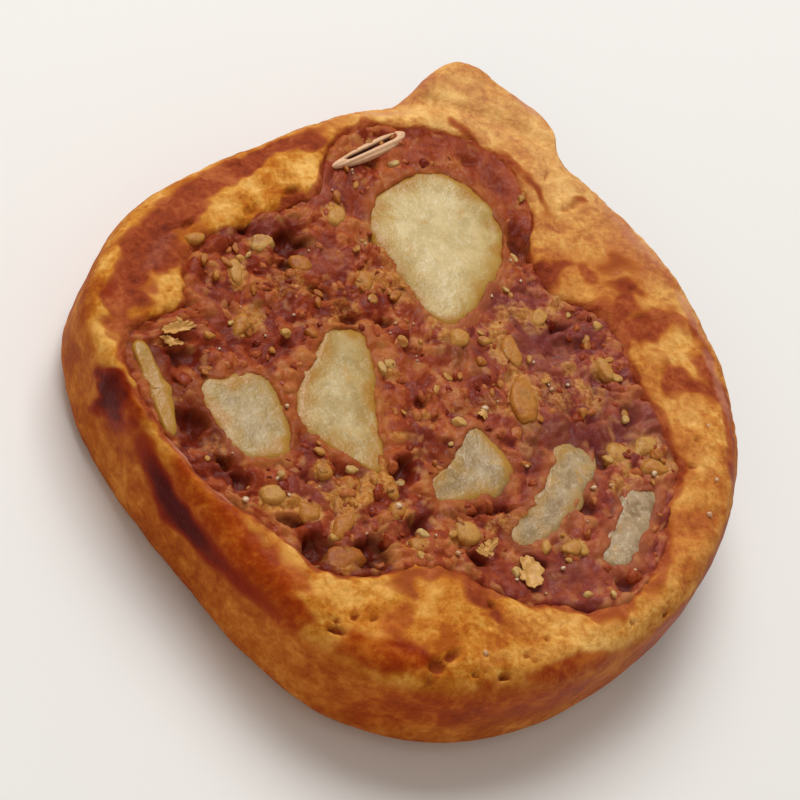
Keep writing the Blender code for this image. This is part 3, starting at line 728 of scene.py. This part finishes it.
# Where the paste is darkest: darker paste, and painted shade where it lies sunk beside the rim and in
# pits
DARK_ZONES = (
    (-22.3, -3.6, 3.2, 9.4, 4, 1), (-22.4, 2, 4.4, 2.6, 0, 0.9), (-20.3, -8.4, 3.4, 2.6, -40, 0.9),
    (-14.6, -16.2, 2.6, 3.4, 0, 0.9), (-10.4, -16.9, 3.4, 3.2, 0, 1), (-9.2, 13.4, 5, 3.6, 0, 0.9),
    (-13.6, 14.2, 3, 1.8, 0, 0.9), (12.9, -7, 1.8, 3, -10, 1), (-4.9, -8.6, 2.6, 2.6, 0, 0.9),
    (7, -21.4, 4.4, 1.4, 5, 0.9), (11.6, 14.4, 1.4, 4, 8, 0.7), (10.6, 20.6, 6, 2.4, -60, 0.6),
    (10.4, 3.2, 8, 2.6, 8, 0.6), (17.2, -3.4, 2.6, 2.6, 0, 0.7), (-8, 7.8, 2.6, 1.4, 0, 0.5),
    (-5.6, -14, 1.6, 2, 0, 0.7), (-1.6, -18, 3.4, 1.4, -10, 0.7), (13.6, 4.4, 5, 1.4, 6, 0.5),
    (-2.4, -13, 6, 0.8, 0, 0.6), (16.5, -4.4, 5, 4, 0, 0.7), (12, -5.4, 10, 3, 0, 1),
    (6.2, -8, 2, 4.4, -20, 0.8), (19, -7.6, 1.4, 4, 0, 0.7), (5.6, -18.6, 6, 3, 0, 0.7),
    (3.6, 0.6, 2, 3, 0, 0.6), (-2.6, 2.4, 2, 2.4, 0, 0.5), (2.2, 2.4, 4, 4, 0, 0.8),
    (-2.2, -6.2, 4, 4, 0, 0.7), (-14, 6.8, 4, 3.6, 0, 0.7), (-18.8, -9.2, 3, 1.6, -30, 0.6),
)
FAT_WANDER = 0.22 * MM
WELL_DEPTH = 2.6
TUCK_DEPTH = 0.7
GRID_STEPS = 232
FAT_OUTLINES = [smooth_closed(outline) for outline, _ in FAT_CHUNKS]


def fat_distance(x, y):
    """Distance to the nearest chunk of fat, negative inside one."""
    return np.min([signed_distance(x, y, outline) for outline in FAT_OUTLINES], axis=0)


def lumps(x, y, spacing, seed):
    """Rounded lumps with cracks between them, 0 to 1, and each lump's own number."""
    nearest, second, own = pebbles(x, y, spacing, seed)
    crack = smooth_step(second - nearest, 0.0, 0.45)
    return crack * (0.35 + 0.65 * np.clip(1.0 - 1.2 * nearest**2, 0.0, 1.0)), own


def coarse_top(x, y):
    """The filling's top: its height, and its masks."""
    places = flat_places(x, y)
    shift_x = MM * uneven(places, (0.6, 2.1, 51), (0.25, 0.8, 52))
    shift_y = MM * uneven(places, (0.6, 2.1, 53), (0.25, 0.8, 54))
    big, big_own = lumps(x + shift_x, y + shift_y, 2.9 * MM, 55)
    middle, middle_own = lumps(x + shift_y, y + shift_x, 1.35 * MM, 56)
    small, small_own = lumps(x - shift_x, y + shift_y, 0.75 * MM, 57)
    smooth = patches(x, y, SMOOTH_PASTE, 58)
    coarse = 1.0 - 0.75 * smooth
    seat = patches(x, y, [(*bit[:5], 1.0) for bit in BITS], 66, 0.3, 0.5)
    height = 0.42 * (big - 0.55) + 0.24 * (big_own - 0.5) * big
    height += 0.24 * (middle - 0.5) * (0.3 + middle_own) + 0.16 * (middle_own - 0.5) * middle
    height += 0.10 * (small - 0.5) * (0.3 + small_own)
    height += uneven(places, (0.14, 1.1, 59), (0.06, 0.45, 60))
    height *= (0.72 - 0.55 * seat) * coarse
    hollow = 0.4 * smooth_step(soft_noise(places, 2.2 * MM, 61), 0.6, 0.9)
    pits = grown(FILLING_PITS, 1.1, 1.1)
    named_pit = 0.75 * patches(x + 0.8 * shift_x, y + 0.8 * shift_y, pits, 62, 0.5, 0.5)
    pit = np.maximum(hollow, named_pit)
    fat = fat_distance(x, y) + FAT_WANDER * soft_noise(places, 0.9 * MM, 63)
    lip = smooth_step(fat, 0.9 * MM, 0.1 * MM)
    well = smooth_step(fat, -0.3 * MM, -0.95 * MM)
    from_rim = round_curve(FILLING_EDGE, np.arctan2(y, x)) - np.hypot(x, y)
    tuck = smooth_step(from_rim, 0.0, -0.9 * MM)
    sunk = patches(x, y, SUNK_PASTE, 67, 0.1, 0.4)
    heap = smooth_step(from_rim, 1.8 * MM, 0.2 * MM) * (1 - sunk)
    lift = height * (1 - 0.4 * lip) - pit + 0.06 * lip + 0.14 * heap - 0.25 * sunk + 0.22
    lift -= WELL_DEPTH * well + TUCK_DEPTH * tuck
    top = FILLING_TOP + dough_bump(x, y) + lift * MM
    golden = patches(x, y, GOLDEN_ZONES, 64, 0.5, 0.4) * (0.45 + 0.55 * middle_own)
    own_share = 0.35 * big_own + 0.4 * middle_own + 0.25 * small_own
    masks = {
        # Painted shade in the cracks between lumps and in the pits
        "deep": 0.9 * smooth_step(-height, 0.06, 0.45) + smooth_step(pit, 0.15, 1.0),
        "smooth": smooth,
        # Each lump's own tone, plus painted shade darkening the paste toward the left and painted
        # light toward the right (the 2 * x term)
        "tone": smooth_step(own_share + 2 * x, 0.2, 0.85),
        # Darker paste together with painted shade in sunk places and pits
        "dark": patches(x, y, DARK_ZONES, 68, 0.5, 0.7),
        "gold": np.maximum(seat, golden),
        "speck": smooth_step(small_own, 0.86, 0.92) * small * coarse,
        "purple": patches(x, y, PURPLE_ZONES, 65, 0.4, 0.5),
        "amber": lip,
        # Painted light: a cool tint toward the right
        "cool": smooth_step(x, -8 * MM, 14 * MM) * smooth_step(y, 13 * MM, 6 * MM),
    }
    return top, masks


def make_filling(material):
    """A square grid with a skirt and a floor, pressed into the filling's outline."""
    shape = bmesh.new()
    bmesh.ops.create_grid(shape, x_segments=GRID_STEPS, y_segments=GRID_STEPS, size=1.0)
    rim = [edge for edge in shape.edges if edge.is_boundary]
    for height, share in ((-0.5, 1.0), (-1.0, 1.0), (-1.0, 0.93), (-1.0, 0.5)):
        made = bmesh.ops.extrude_edge_only(shape, edges=rim)["geom"]
        rim = [item for item in made if isinstance(item, bmesh.types.BMEdge)]
        for corner in {corner for edge in rim for corner in edge.verts}:
            size = max(abs(corner.co.x), abs(corner.co.y))
            corner.co.x *= share / size
            corner.co.y *= share / size
            corner.co.z = height
    bmesh.ops.contextual_create(shape, geom=rim)
    bmesh.ops.recalc_face_normals(shape, faces=shape.faces)
    mesh = mesh_from("filling_mass", shape)
    across, aside, level = points_of(mesh).T
    disc_x = across * np.sqrt(1 - aside**2 / 2)
    disc_y = aside * np.sqrt(1 - across**2 / 2)
    share = np.hypot(disc_x, disc_y)
    angles = np.arctan2(disc_y, disc_x)
    edge = round_curve(FILLING_EDGE, angles)
    on_top = level > -0.2
    tucked = np.minimum(edge + 1.2 * MM, outer_radius(angles) - 1.5 * MM)
    x, y = from_angle(share * np.where(on_top, tucked, edge), angles)
    top, masks = coarse_top(x, y)
    foot = np.where(share > 0.97, 0.5 * MM, 0.06 * MM)
    set_points(mesh, x, y, np.where(on_top, top, np.where(level > -0.7, 0.5 * top, foot)))
    add_masks(mesh, **masks)
    make_piece("filling_mass", mesh, material, "filling")


# Fat: flat-cut chunks with small rounded edges and a crystalline surface
FAT_EDGE = 1.0 * MM
FAT_GROWTH = 0.15 * MM
FAT_SINK = 0.34 * MM
FAT_STEPS = 144
# How yellow, how dark and how brown at the edge each chunk is
FAT_LOOKS = (
    (1, 0, 1), (0.6, 1.1, 0.9), (0.7, 0.1, 1), (0.1, 0.6, 0.7), (0.1, 0.2, 0.5), (0, 0, 0.2),
    (0.9, 2, 1),
)


def make_fat(number, material, warmth, shade, fringe):
    depth = FAT_CHUNKS[number][1] * MM
    curve = FAT_OUTLINES[number] * MM
    centre = curve.mean(axis=0)
    from_x, from_y = (curve - centre).T
    bearing = np.arctan2(from_y, from_x)
    order = np.argsort(bearing)
    name = f"fat_chunk_{number + 1}"
    # Across is 0 to 1 on the flat cut and 1 to 2 within the rounded edge
    section = rounded_section(1.0, 1.0, 0.1, 0.9, (10, 5, 6, 8, 26))
    mesh = mesh_from(name, spun_template(section, FAT_STEPS, closed=False))
    angles, across, up = template_rounds(mesh)
    reach = np.interp(angles, bearing[order], np.hypot(from_x, from_y)[order], period=2 * math.pi)
    rim = np.column_stack([*from_angle(reach, angles), up * depth])
    reach += FAT_GROWTH + MM * uneven(rim, (0.26, 1.3, 70 + number), (0.10, 0.5, 80 + number))
    flat = reach - FAT_EDGE
    radius = np.where(across > 1, flat + FAT_EDGE * (across - 1), flat * across)
    x, y = from_angle(radius, angles)
    x += centre[0]
    y += centre[1]
    places = flat_places(x, y)
    top = THICKNESS - FAT_SINK + dough_bump(x, y)
    top += MM * uneven(places, (0.12, 3.6, 90 + number), (0.03, 0.9, 100 + number))
    set_points(mesh, x, y, THICKNESS - depth + up * (top - THICKNESS + depth))
    inside = -signed_distance(x, y, FAT_OUTLINES[number]) / MM
    fray = 0.5 + 0.5 * soft_noise(places, 1.3 * MM, 120 + number)
    add_masks(
        mesh,
        rim=fringe * smooth_step(inside, 0.8 + 2.2 * fray, 0.1) * (0.5 + 0.5 * fray),
        outer=fringe * smooth_step(inside, 4.0, 0.6),
        warmth=np.full(len(x), warmth),
        shade=np.full(len(x), shade),
    )
    make_piece(name, mesh, material, f"fat_{number + 1}")


# Loose and half-sunk small things
# What stands above the level of a bit is pressed down to this share of its height
SQUASH = 0.15


def nugget(seed, rounds, cuts=7):
    """A broken bit with worn edges: a ball, cut nearly flat by a few planes and roughened."""
    draw = np.random.default_rng(seed)
    shape = bmesh.new()
    bmesh.ops.create_icosphere(shape, subdivisions=rounds, radius=0.5)
    mesh = mesh_from("nugget", shape)
    corners = points_of(mesh)
    faces = [tuple(face.vertices) for face in mesh.polygons]
    bpy.data.meshes.remove(mesh)
    for side in draw.normal(size=(cuts, 3)):
        side /= np.linalg.norm(side)
        over = np.maximum(corners @ side - draw.uniform(0.26, 0.42), 0.0)
        corners -= 0.9 * over[:, None] * side
    corners *= 1 + 0.16 * soft_noise(corners, 0.3, seed)[:, None]
    return corners, faces


def scatter(name, material, centres, sizes, turns, seed, tilt=0.5, level=None, rounds=2, tones=()):
    """Join many nuggets into one piece, each with its own tone.

    level is how high each may reach, and tones gives the tone of the first ones.
    """
    nuggets = [nugget(seed + k, rounds) for k in range(8)]
    draw = np.random.default_rng(seed)
    all_points = []
    all_faces = []
    tone = []
    start = 0
    for i, centre in enumerate(centres):
        corners, faces = nuggets[draw.integers(len(nuggets))]
        turn = Matrix.Rotation(turns[i], 3, "Z") @ Matrix.Rotation(draw.uniform(-tilt, tilt), 3, "X")
        placed = (corners * sizes[i]) @ np.array(turn).T + centre
        if level is not None:
            placed[:, 2] = np.minimum(placed[:, 2], level[i] + SQUASH * (placed[:, 2] - level[i]))
        all_points.append(placed)
        all_faces += [tuple(start + k for k in face) for face in faces]
        own = draw.uniform(0, 1)
        tone.append(np.full(len(corners), tones[i] if i < len(tones) else own))
        start += len(corners)
    joined = np.concatenate(all_points)
    mesh = bpy.data.meshes.new(name)
    mesh.from_pydata(joined.tolist(), [], all_faces)
    set_points(mesh, joined)
    add_masks(mesh, tone=np.concatenate(tone))
    make_piece(name, mesh, material)


def free_spots(count, seed, apart, margin):
    """Seeded places on the filling, clear of the fat and the rim, few on smooth paste or where the
    paste is darker or painted with shade.
    """
    draw = np.random.default_rng(seed)
    x = draw.uniform(-27, 27, count * 4) * MM
    y = draw.uniform(-27, 27, count * 4) * MM
    fits = np.hypot(x, y) < round_curve(FILLING_EDGE, np.arctan2(y, x)) - margin
    fits &= fat_distance(x, y) > apart
    fits &= patches(x, y, SMOOTH_PASTE, 58) < draw.uniform(0.1, 0.9, len(x))
    fits &= patches(x, y, DARK_ZONES, 68) < draw.uniform(0.1, 0.8, len(x))
    return x[fits][:count], y[fits][:count]


def make_crumbs(material):
    x, y = free_spots(320, 131, 0.2 * MM, 0.3 * MM)
    draw = np.random.default_rng(132)
    across = 0.5 * MM + 1.2 * MM * draw.uniform(0, 1, len(x)) ** 2
    sizes = across[:, None] * draw.uniform(0.6, 1.2, (len(x), 3))
    top, _ = coarse_top(x, y)
    centres = np.column_stack([x, y, top - 0.3 * sizes[:, 2]])
    scatter("paste_crumbs", material, centres, sizes, draw.uniform(0, math.pi, len(x)), 133)


def make_bits(material):
    """Bits of nut: the ones that show most, then smaller ones between."""
    draw = np.random.default_rng(141)
    free = np.column_stack(free_spots(110, 142, 0.3 * MM, 0.5 * MM))
    length = draw.uniform(0.5, 1.5, len(free)) * MM
    width = length * draw.uniform(0.5, 0.9, len(free))
    named = np.array(BITS)
    x, y = np.vstack([named[:, :2] * MM, free]).T
    sizes = np.vstack([
        np.column_stack([named[:, 2:4] * 1.2, np.full(len(named), 1.5)]) * MM,
        np.column_stack([length, width, width]),
    ])
    turns = np.concatenate([np.radians(named[:, 4]), draw.uniform(0, math.pi, len(free))])
    top, _ = coarse_top(x, y)
    on_dough = np.hypot(x, y) > round_curve(FILLING_EDGE, np.arctan2(y, x)) + 0.2 * MM
    level = np.where(on_dough, THICKNESS + dough_bump(x, y), top)
    level += draw.uniform(0.12, 0.35, len(x)) * MM
    centres = np.column_stack([x, y, level - 0.32 * sizes[:, 2]])
    scatter(
        "nut_bits", material, centres, sizes, turns, 143,
        tilt=0.25, level=level, rounds=3, tones=named[:, 5],
    )


# Pale grains that catch the light: x and y in mm
GRAINS = (
    (-3.1, -25.6), (22.5, -10.4), (10.8, -11), (5.5, -8.8), (12.7, -10.6), (-6.9, -12.4),
    (20.8, -13.6), (17, -9.6), (3.3, -3.2), (-14, -3), (-19.4, -11.4), (6, -18.2), (-3, -16.8),
    (23.4, -5.2),
)
# A placed grain that is further out than this lies on the dough
GRAINS_ON_DOUGH = 20.5 * MM


def make_grains(material):
    x, y = free_spots(60, 151, 0.1 * MM, 0.3 * MM)
    top, masks = coarse_top(x, y)
    shallow = masks["deep"] < 0.1
    free = np.column_stack([x, y, top + 0.1 * MM])[shallow]
    draw = np.random.default_rng(152)
    small = draw.uniform(0.18, 0.36, len(free)) * MM
    x, y = np.array(GRAINS).T * MM
    rest, _ = coarse_top(x, y)
    on_dough = np.hypot(x, y) > GRAINS_ON_DOUGH
    height = np.where(on_dough, THICKNESS + dough_bump(x, y) - 0.1 * MM, rest + 0.2 * MM)
    centres = np.vstack([np.column_stack([x, y, height]), free])
    across = np.concatenate([draw.uniform(0.4, 0.65, len(x)) * MM, small])
    sizes = across[:, None] * draw.uniform(0.7, 1.2, (len(across), 3))
    scatter("pale_grains", material, centres, sizes, draw.uniform(0, math.pi, len(across)), 153)


def make_seed(material):
    """The long husk: two pale halves with a split along it, painted dark as shade."""
    x, y, length, width, turn = SEED
    shape = bmesh.new()
    bmesh.ops.create_uvsphere(shape, u_segments=64, v_segments=48, radius=0.5)
    bmesh.ops.rotate(shape, verts=shape.verts, matrix=Matrix.Rotation(math.pi / 2, 3, "Y"))
    mesh = mesh_from("seed_husk", shape)
    points = points_of(mesh)
    along = points[:, 0] * 2
    aside = points[:, 1] * 2
    upper = points[:, 2] > 0
    reach = np.sqrt(np.clip(1 - along**2, 0.0, 1.0))
    split = np.exp(-(((aside - 0.1) / 0.2) ** 2)) * upper
    split *= smooth_step(np.abs(along - 0.05), 0.8, 0.55)
    points[:, 1] *= 1 + 0.2 * along
    points[:, 2] += 0.03 * np.cos(aside * 14) * reach * upper - 0.42 * split
    points *= np.array((length, width, 1.25)) * MM
    points[:, 1] += 0.2 * MM * (along**2 - 0.4)
    ground = FILLING_TOP + dough_bump(np.array([x * MM]), np.array([y * MM]))[0]
    set_points(mesh, turned(points, turn) + (x * MM, y * MM, ground + 0.2 * MM))
    add_masks(mesh, split=split)
    make_piece("seed_husk", mesh, material)


# Thin flakes of crust: x, y, length, width in mm, turn in degrees, how much they curl
FLAKES = (
    (2.9, -18.6, 2.4, 1.8, 80, 0.5), (0.2, -16, 1.6, 0.8, 40, 1), (-0.4, -16.6, 1.3, 0.7, -30, 0.8),
    (-21.4, 4.4, 2.4, 0.8, 15, 1.2), (-22.2, 3.2, 1.6, 0.7, -25, 1), (3.1, -3.6, 1, 0.7, 60, 0.6),
)


def make_flakes(material):
    joined = bmesh.new()
    for number, (x, y, length, width, turn, curl) in enumerate(FLAKES):
        shape = bmesh.new()
        bmesh.ops.create_grid(shape, x_segments=26, y_segments=24, size=0.5)
        bmesh.ops.solidify(shape, geom=shape.faces[:], thickness=0.06)
        mesh = mesh_from("flake", shape)
        across, aside, up = points_of(mesh).T
        angle = np.arctan2(aside, across)
        square = np.maximum(np.abs(across), np.abs(aside)) / np.maximum(np.hypot(across, aside), 1e-6)
        ring = flat_places(np.cos(angle), np.sin(angle), number)
        reach = square * (1 + 0.5 * soft_noise(ring, 0.7, 121) + 0.45 * soft_noise(ring, 0.28, 122))
        flat_x = across * reach * length * MM
        flat_y = aside * reach * width * MM
        lift = curl * 0.22 * MM * ((across * 2) ** 2 + 0.4 * aside)
        lift += 0.2 * MM * soft_noise(flat_places(flat_x, flat_y, number), 0.5 * MM, 123)
        flake = turned(np.column_stack([flat_x, flat_y, up * 2 * MM + lift]), turn)
        top, _ = coarse_top(np.array([x * MM]), np.array([y * MM]))
        set_points(mesh, flake + (x * MM, y * MM, max(top[0], FILLING_TOP) + 0.22 * MM))
        joined.from_mesh(mesh)
        bpy.data.meshes.remove(mesh)
    bmesh.ops.recalc_face_normals(joined, faces=joined.faces)
    make_piece("crust_flakes", mesh_from("crust_flakes", joined), material)


# Finishes
def dough_finish():
    look = Finish("glazed_dough")
    fine = look.grain(0.5, 3, 0.65)
    middle = look.grain(1.8, 3, 0.6, 0.5)
    broad = look.grain(5.0, 2, 0.5, 0.4)
    mottled = look.weighted((fine, 0.25), (middle, 0.42), (broad, 0.33))
    look.fray = look.combine("SUBTRACT", mottled, 0.5)

    # The baked crust, from golden to the dark pools of glaze
    look.colour = look.ramp(mottled, (
        (0.40, 0.40, 0.090, 0.006), (0.47, 0.54, 0.175, 0.015), (0.53, 0.66, 0.28, 0.040),
        (0.61, 0.84, 0.45, 0.11)))
    # The pale layer is paler crust together with painted highlight; orange, side and glaze are the
    # crust's own colours
    for name, low, high, amount, share, stops in (
        ("pale", 0.15, 0.85, 1.0, 0.65,
         ((0.40, 0.60, 0.25, 0.038), (0.50, 0.78, 0.41, 0.095), (0.62, 0.94, 0.56, 0.18))),
        ("orange", 0.0, 0.8, 1.6, 0.7,
         ((0.40, 0.37, 0.070, 0.004), (0.5, 0.50, 0.13, 0.011), (0.62, 0.68, 0.26, 0.036))),
        ("side", 0.05, 0.85, 0.9, 0.9,
         ((0.38, 0.31, 0.048, 0.004), (0.5, 0.44, 0.100, 0.010), (0.62, 0.61, 0.195, 0.026))),
        ("glaze", 0.1, 0.9, 0.9, None,
         ((0.38, 0.23, 0.018, 0.0015), (0.5, 0.36, 0.050, 0.003), (0.62, 0.54, 0.14, 0.012))),
    ):
        look.paint(look.frayed(name, low, high, amount, share), look.ramp(mottled, stops))

    # Painted light from beside: a warm glow toward the upper right and a cool tint toward the right;
    # then stains of filling and syrup, painted shade in the pits, and dots
    look.paint(look.mask("haze", 0.12), (0.88, 0.58, 0.36))
    look.paint(look.mask("cool", 0.03), (0.40, 0.42, 0.55))
    look.paint(look.frayed("stain", 0.0, 0.4, 1.0, 0.75), (0.47, 0.125, 0.014))
    look.paint(look.frayed("stain", 0.1, 0.65, 1.2), look.ramp(mottled, (
        (0.38, 0.17, 0.021, 0.006), (0.5, 0.31, 0.052, 0.014), (0.62, 0.46, 0.120, 0.034))))
    # Pinkish edges: partly crust colour, partly painted gloss highlight
    look.paint(look.frayed("pink", 0.15, 0.85, 1.0, 0.6), (0.56, 0.24, 0.16))
    syrup = look.frayed("syrup", 0.0, 1.0, 0.5)
    look.paint(look.band(syrup, 0.0, 0.5), (0.26, 0.022, 0.003))
    look.paint(look.band(syrup, 0.35, 1.0), (0.075, 0.002, 0.001))
    # Painted shade in the pits
    look.paint(look.mask("pit"), (0.27, 0.050, 0.008))
    dots = look.band(look.grain(0.38, 1, 0.4), 0.66, 0.75)
    look.paint(look.times(dots, 0.18), (0.30, 0.075, 0.010))
    look.paint(look.mask("under", 0.3), (0.30, 0.070, 0.006))

    wet = look.combine("MAXIMUM", look.mask("glaze"), syrup)
    shine = look.plus(look.band(wet, 0.1, 0.9, 0.62, 0.42), look.times(look.fray, 0.5))
    bump = look.relief(look.grain(0.28, 3, 0.65), 0.08, look.band(wet, 0.1, 0.8, 0.9, 0.4))
    bump = look.relief(look.grain(0.8, 2, 0.5), 0.2, look.band(wet, 0.1, 0.8, 0.8, 0.35), bump)
    look.soften(0.08, 1.2, 0.5, 0.2)
    return look.done(shine, 0.06, bump)


def paste_colour(look, fine):
    """Brick red to orange brown, from the tone mask and a finer grain; on the filling the tone holds
    painted light and shade as well as each lump's own tone.
    """
    return look.ramp(look.weighted((look.mask("tone"), 0.65), (fine, 0.7)), (
        (0.26, 0.13, 0.010, 0.003), (0.44, 0.215, 0.026, 0.007), (0.62, 0.31, 0.050, 0.013),
        (0.80, 0.39, 0.090, 0.023), (0.98, 0.47, 0.155, 0.042)))


def filling_finish():
    look = Finish("savoury_filling")
    fine = look.grain(0.34, 3, 0.65)
    middle = look.grain(1.3, 2, 0.55, 0.6)
    look.fray = look.combine("SUBTRACT", fine, 0.5)
    look.colour = paste_colour(look, look.weighted((fine, 0.6), (middle, 0.4)))
    look.paint(look.mask("purple", 0.6), look.blend(fine, (0.14, 0.019, 0.015), (0.31, 0.084, 0.066)))
    paste = look.blend(look.band(middle, 0.3, 0.7), (0.25, 0.033, 0.009), (0.39, 0.078, 0.024))
    look.paint(look.mask("smooth", 0.8), paste)
    look.paint(look.mask("amber", 0.6), (0.36, 0.100, 0.022))
    look.paint(look.frayed("gold", 0.1, 0.7, 0.5, 0.85), look.ramp(fine, (
        (0.36, 0.39, 0.122, 0.018), (0.50, 0.51, 0.21, 0.037), (0.64, 0.61, 0.32, 0.084))))
    # Darker paste together with painted shade in sunk places and pits
    look.paint(look.frayed("dark", 0.1, 0.9, 0.8, 0.68), (0.12, 0.010, 0.003))
    look.paint(look.mask("speck", 0.6), (0.46, 0.19, 0.055))
    # Painted shade in the cracks between lumps and in the pits
    look.paint(look.band(look.mask("deep"), 0.1, 1.0, 0.0, 0.75), (0.085, 0.007, 0.003))
    # Painted cool light toward the right
    look.paint(look.mask("cool", 0.035), (0.30, 0.28, 0.45))
    shine = look.band(look.grain(0.4, 2, 0.6), 0.35, 0.65, 0.2, 0.5)
    bump = look.relief(look.grain(0.17, 3, 0.65), 0.05, 0.6)
    bump = look.relief(look.grain(0.45, 2, 0.5), 0.12, 0.6, bump)
    look.soften(0.1, 1.0, 0.4, 0.2)
    return look.done(shine, 0.09, bump)


def crumb_finish():
    look = Finish("paste_crumbs")
    fine = look.grain(0.3, 2, 0.6)
    look.colour = paste_colour(look, fine)
    shine = look.band(look.grain(0.3, 1, 0.5), 0.35, 0.65, 0.18, 0.45)
    return look.done(shine, 0.14, look.relief(fine, 0.1, 0.7))


def nut_finish():
    look = Finish("nut_bits")
    fine = look.grain(0.5, 3, 0.6)
    look.colour = look.ramp(look.weighted((look.mask("tone"), 0.7), (fine, 0.5)), (
        (0.2, 0.34, 0.090, 0.010), (0.45, 0.45, 0.165, 0.023), (0.75, 0.53, 0.27, 0.062),
        (1.0, 0.57, 0.40, 0.16)))
    smear = look.band(look.grain(1.1, 2, 0.6), 0.5, 0.66)
    look.paint(look.times(smear, 0.4), (0.25, 0.040, 0.010))
    look.soften(0.25, 1.2, 0.7, 0.3)
    return look.done(0.4, 0.2, look.relief(fine, 0.14, 0.8))


def grain_finish():
    look = Finish("pale_grains")
    look.colour = look.blend(look.mask("tone"), (0.56, 0.30, 0.15), (0.72, 0.52, 0.34))
    look.soften(0.3, 1.0, 0.8, 0.6)
    return look.done(0.25, 0.5)


def fat_finish():
    look = Finish("candied_fat")
    cloudy = look.grain(2.4, 2, 0.5, 0.5)
    middle = look.grain(0.9, 2, 0.6, 0.3)
    fine = look.grain(0.25, 3, 0.65)
    mixed = look.weighted((cloudy, 0.6), (middle, 0.4))
    look.fray = look.combine("SUBTRACT", mixed, 0.5)
    light = look.band(mixed, 0.38, 0.62)
    look.colour = look.blend(light, (0.28, 0.175, 0.080), (0.45, 0.32, 0.19))
    look.paint(look.mask("warmth"), look.blend(light, (0.43, 0.285, 0.082), (0.64, 0.48, 0.215)))
    heart = look.times(look.combine("SUBTRACT", 1.0, look.mask("outer")), look.mask("warmth"))
    look.paint(look.times(heart, 0.5), (0.70, 0.56, 0.31))
    look.paint(look.mask("shade", 0.45), (0.22, 0.115, 0.012))
    crystals = look.band(look.grain(0.5, 2, 0.5), 0.56, 0.68)
    look.paint(look.times(crystals, 0.25), (0.80, 0.72, 0.52))
    fleck = look.band(look.grain(1.5, 2, 0.5), 0.6, 0.7)
    look.paint(look.times(fleck, 0.45), (0.54, 0.29, 0.05))
    outer = look.band(look.plus(look.mask("outer"), look.times(look.fray, 1.5)), 0.3, 1.1)
    look.paint(look.times(outer, 0.55), (0.44, 0.265, 0.050))
    look.paint(look.frayed("rim", 0.0, 0.8, 1.0), (0.42, 0.20, 0.025))
    bump = look.relief(middle, 0.12, 0.6, look.relief(fine, 0.04, 0.8))
    look.soften(0.35, 2.0, 1.5, 0.8)
    return look.done(look.band(fine, 0.35, 0.65, 0.16, 0.4), 0.3, bump)


def husk_finish():
    look = Finish("seed_husk")
    fine = look.grain(0.3, 2, 0.6)
    look.colour = look.blend(fine, (0.64, 0.34, 0.17), (0.90, 0.60, 0.38))
    # Painted shade in the split
    look.paint(look.band(look.mask("split"), 0.15, 0.6), (0.085, 0.014, 0.007))
    return look.done(0.45, 0.3, look.relief(fine, 0.06, 0.5))


def flake_finish():
    look = Finish("crust_flakes")
    fine = look.grain(0.4, 2, 0.6)
    look.colour = look.blend(fine, (0.44, 0.18, 0.034), (0.80, 0.47, 0.14))
    return look.done(0.42, 0.3, look.relief(fine, 0.06, 0.5))


# Stage
def make_floor():
    shape = bmesh.new()
    bmesh.ops.create_grid(shape, x_segments=1, y_segments=1, size=1.5)
    mesh = mesh_from("floor", shape)
    look = Finish("pale_floor")
    look.colour = (0.86, 0.85, 0.83)
    mesh.materials.append(look.done(0.7, 0.5))
    floor = show(bpy.data.objects.new("floor", mesh))


def make_light(name, place, size, watts, colour=(1.0, 1.0, 1.0)):
    """A square light that points at the middle of the scene."""
    data = bpy.data.lights.new(name, "AREA")
    data.size = size
    data.energy = watts
    data.color = colour
    light = show(bpy.data.objects.new(name, data))
    light.location = place
    light.rotation_euler = (-light.location).to_track_quat("-Z", "Y").to_euler()


def light_stage():
    scene = bpy.context.scene
    world = bpy.data.worlds.new("soft_room")
    world.use_nodes = True
    background = world.node_tree.nodes["Background"]
    background.inputs["Color"].default_value = (1.0, 0.97, 0.91, 1.0)
    background.inputs["Strength"].default_value = 0.33
    scene.world = world
    make_light("key", (0.04, 0.45, 0.62), 0.5, 5.0)
    make_light("fill", (-0.4, -0.5, 0.35), 0.5, 0.7, (1.0, 0.80, 0.58))
    scene.view_settings.view_transform = "Standard"


def make_camera():
    away = Vector((
        math.sin(VIEW_AZIMUTH) * math.cos(VIEW_ELEVATION),
        -math.cos(VIEW_AZIMUTH) * math.cos(VIEW_ELEVATION),
        math.sin(VIEW_ELEVATION),
    ))
    # The part's X axis lies level in the picture, which rolls the camera as it was
    right = Vector((1, 0, 0))
    right = (right - right.dot(away) * away).normalized()
    turn = Matrix((right, away.cross(right), away)).transposed()
    data = bpy.data.cameras.new("camera")
    data.sensor_width = SENSOR_WIDTH
    data.lens = LENS
    data.clip_start = 0.01
    camera = show(bpy.data.objects.new("camera", data))
    camera.matrix_world = Matrix.Translation(VIEW_AIM + away * VIEW_DISTANCE) @ turn.to_4x4()
    bpy.context.scene.camera = camera


make_camera()
light_stage()
make_floor()
make_dough(dough_finish())
make_filling(filling_finish())
fat_look = fat_finish()
for chunk, looks in enumerate(FAT_LOOKS):
    make_fat(chunk, fat_look, *looks)
make_crumbs(crumb_finish())
make_bits(nut_finish())
make_grains(grain_finish())
make_seed(husk_finish())
make_flakes(flake_finish())
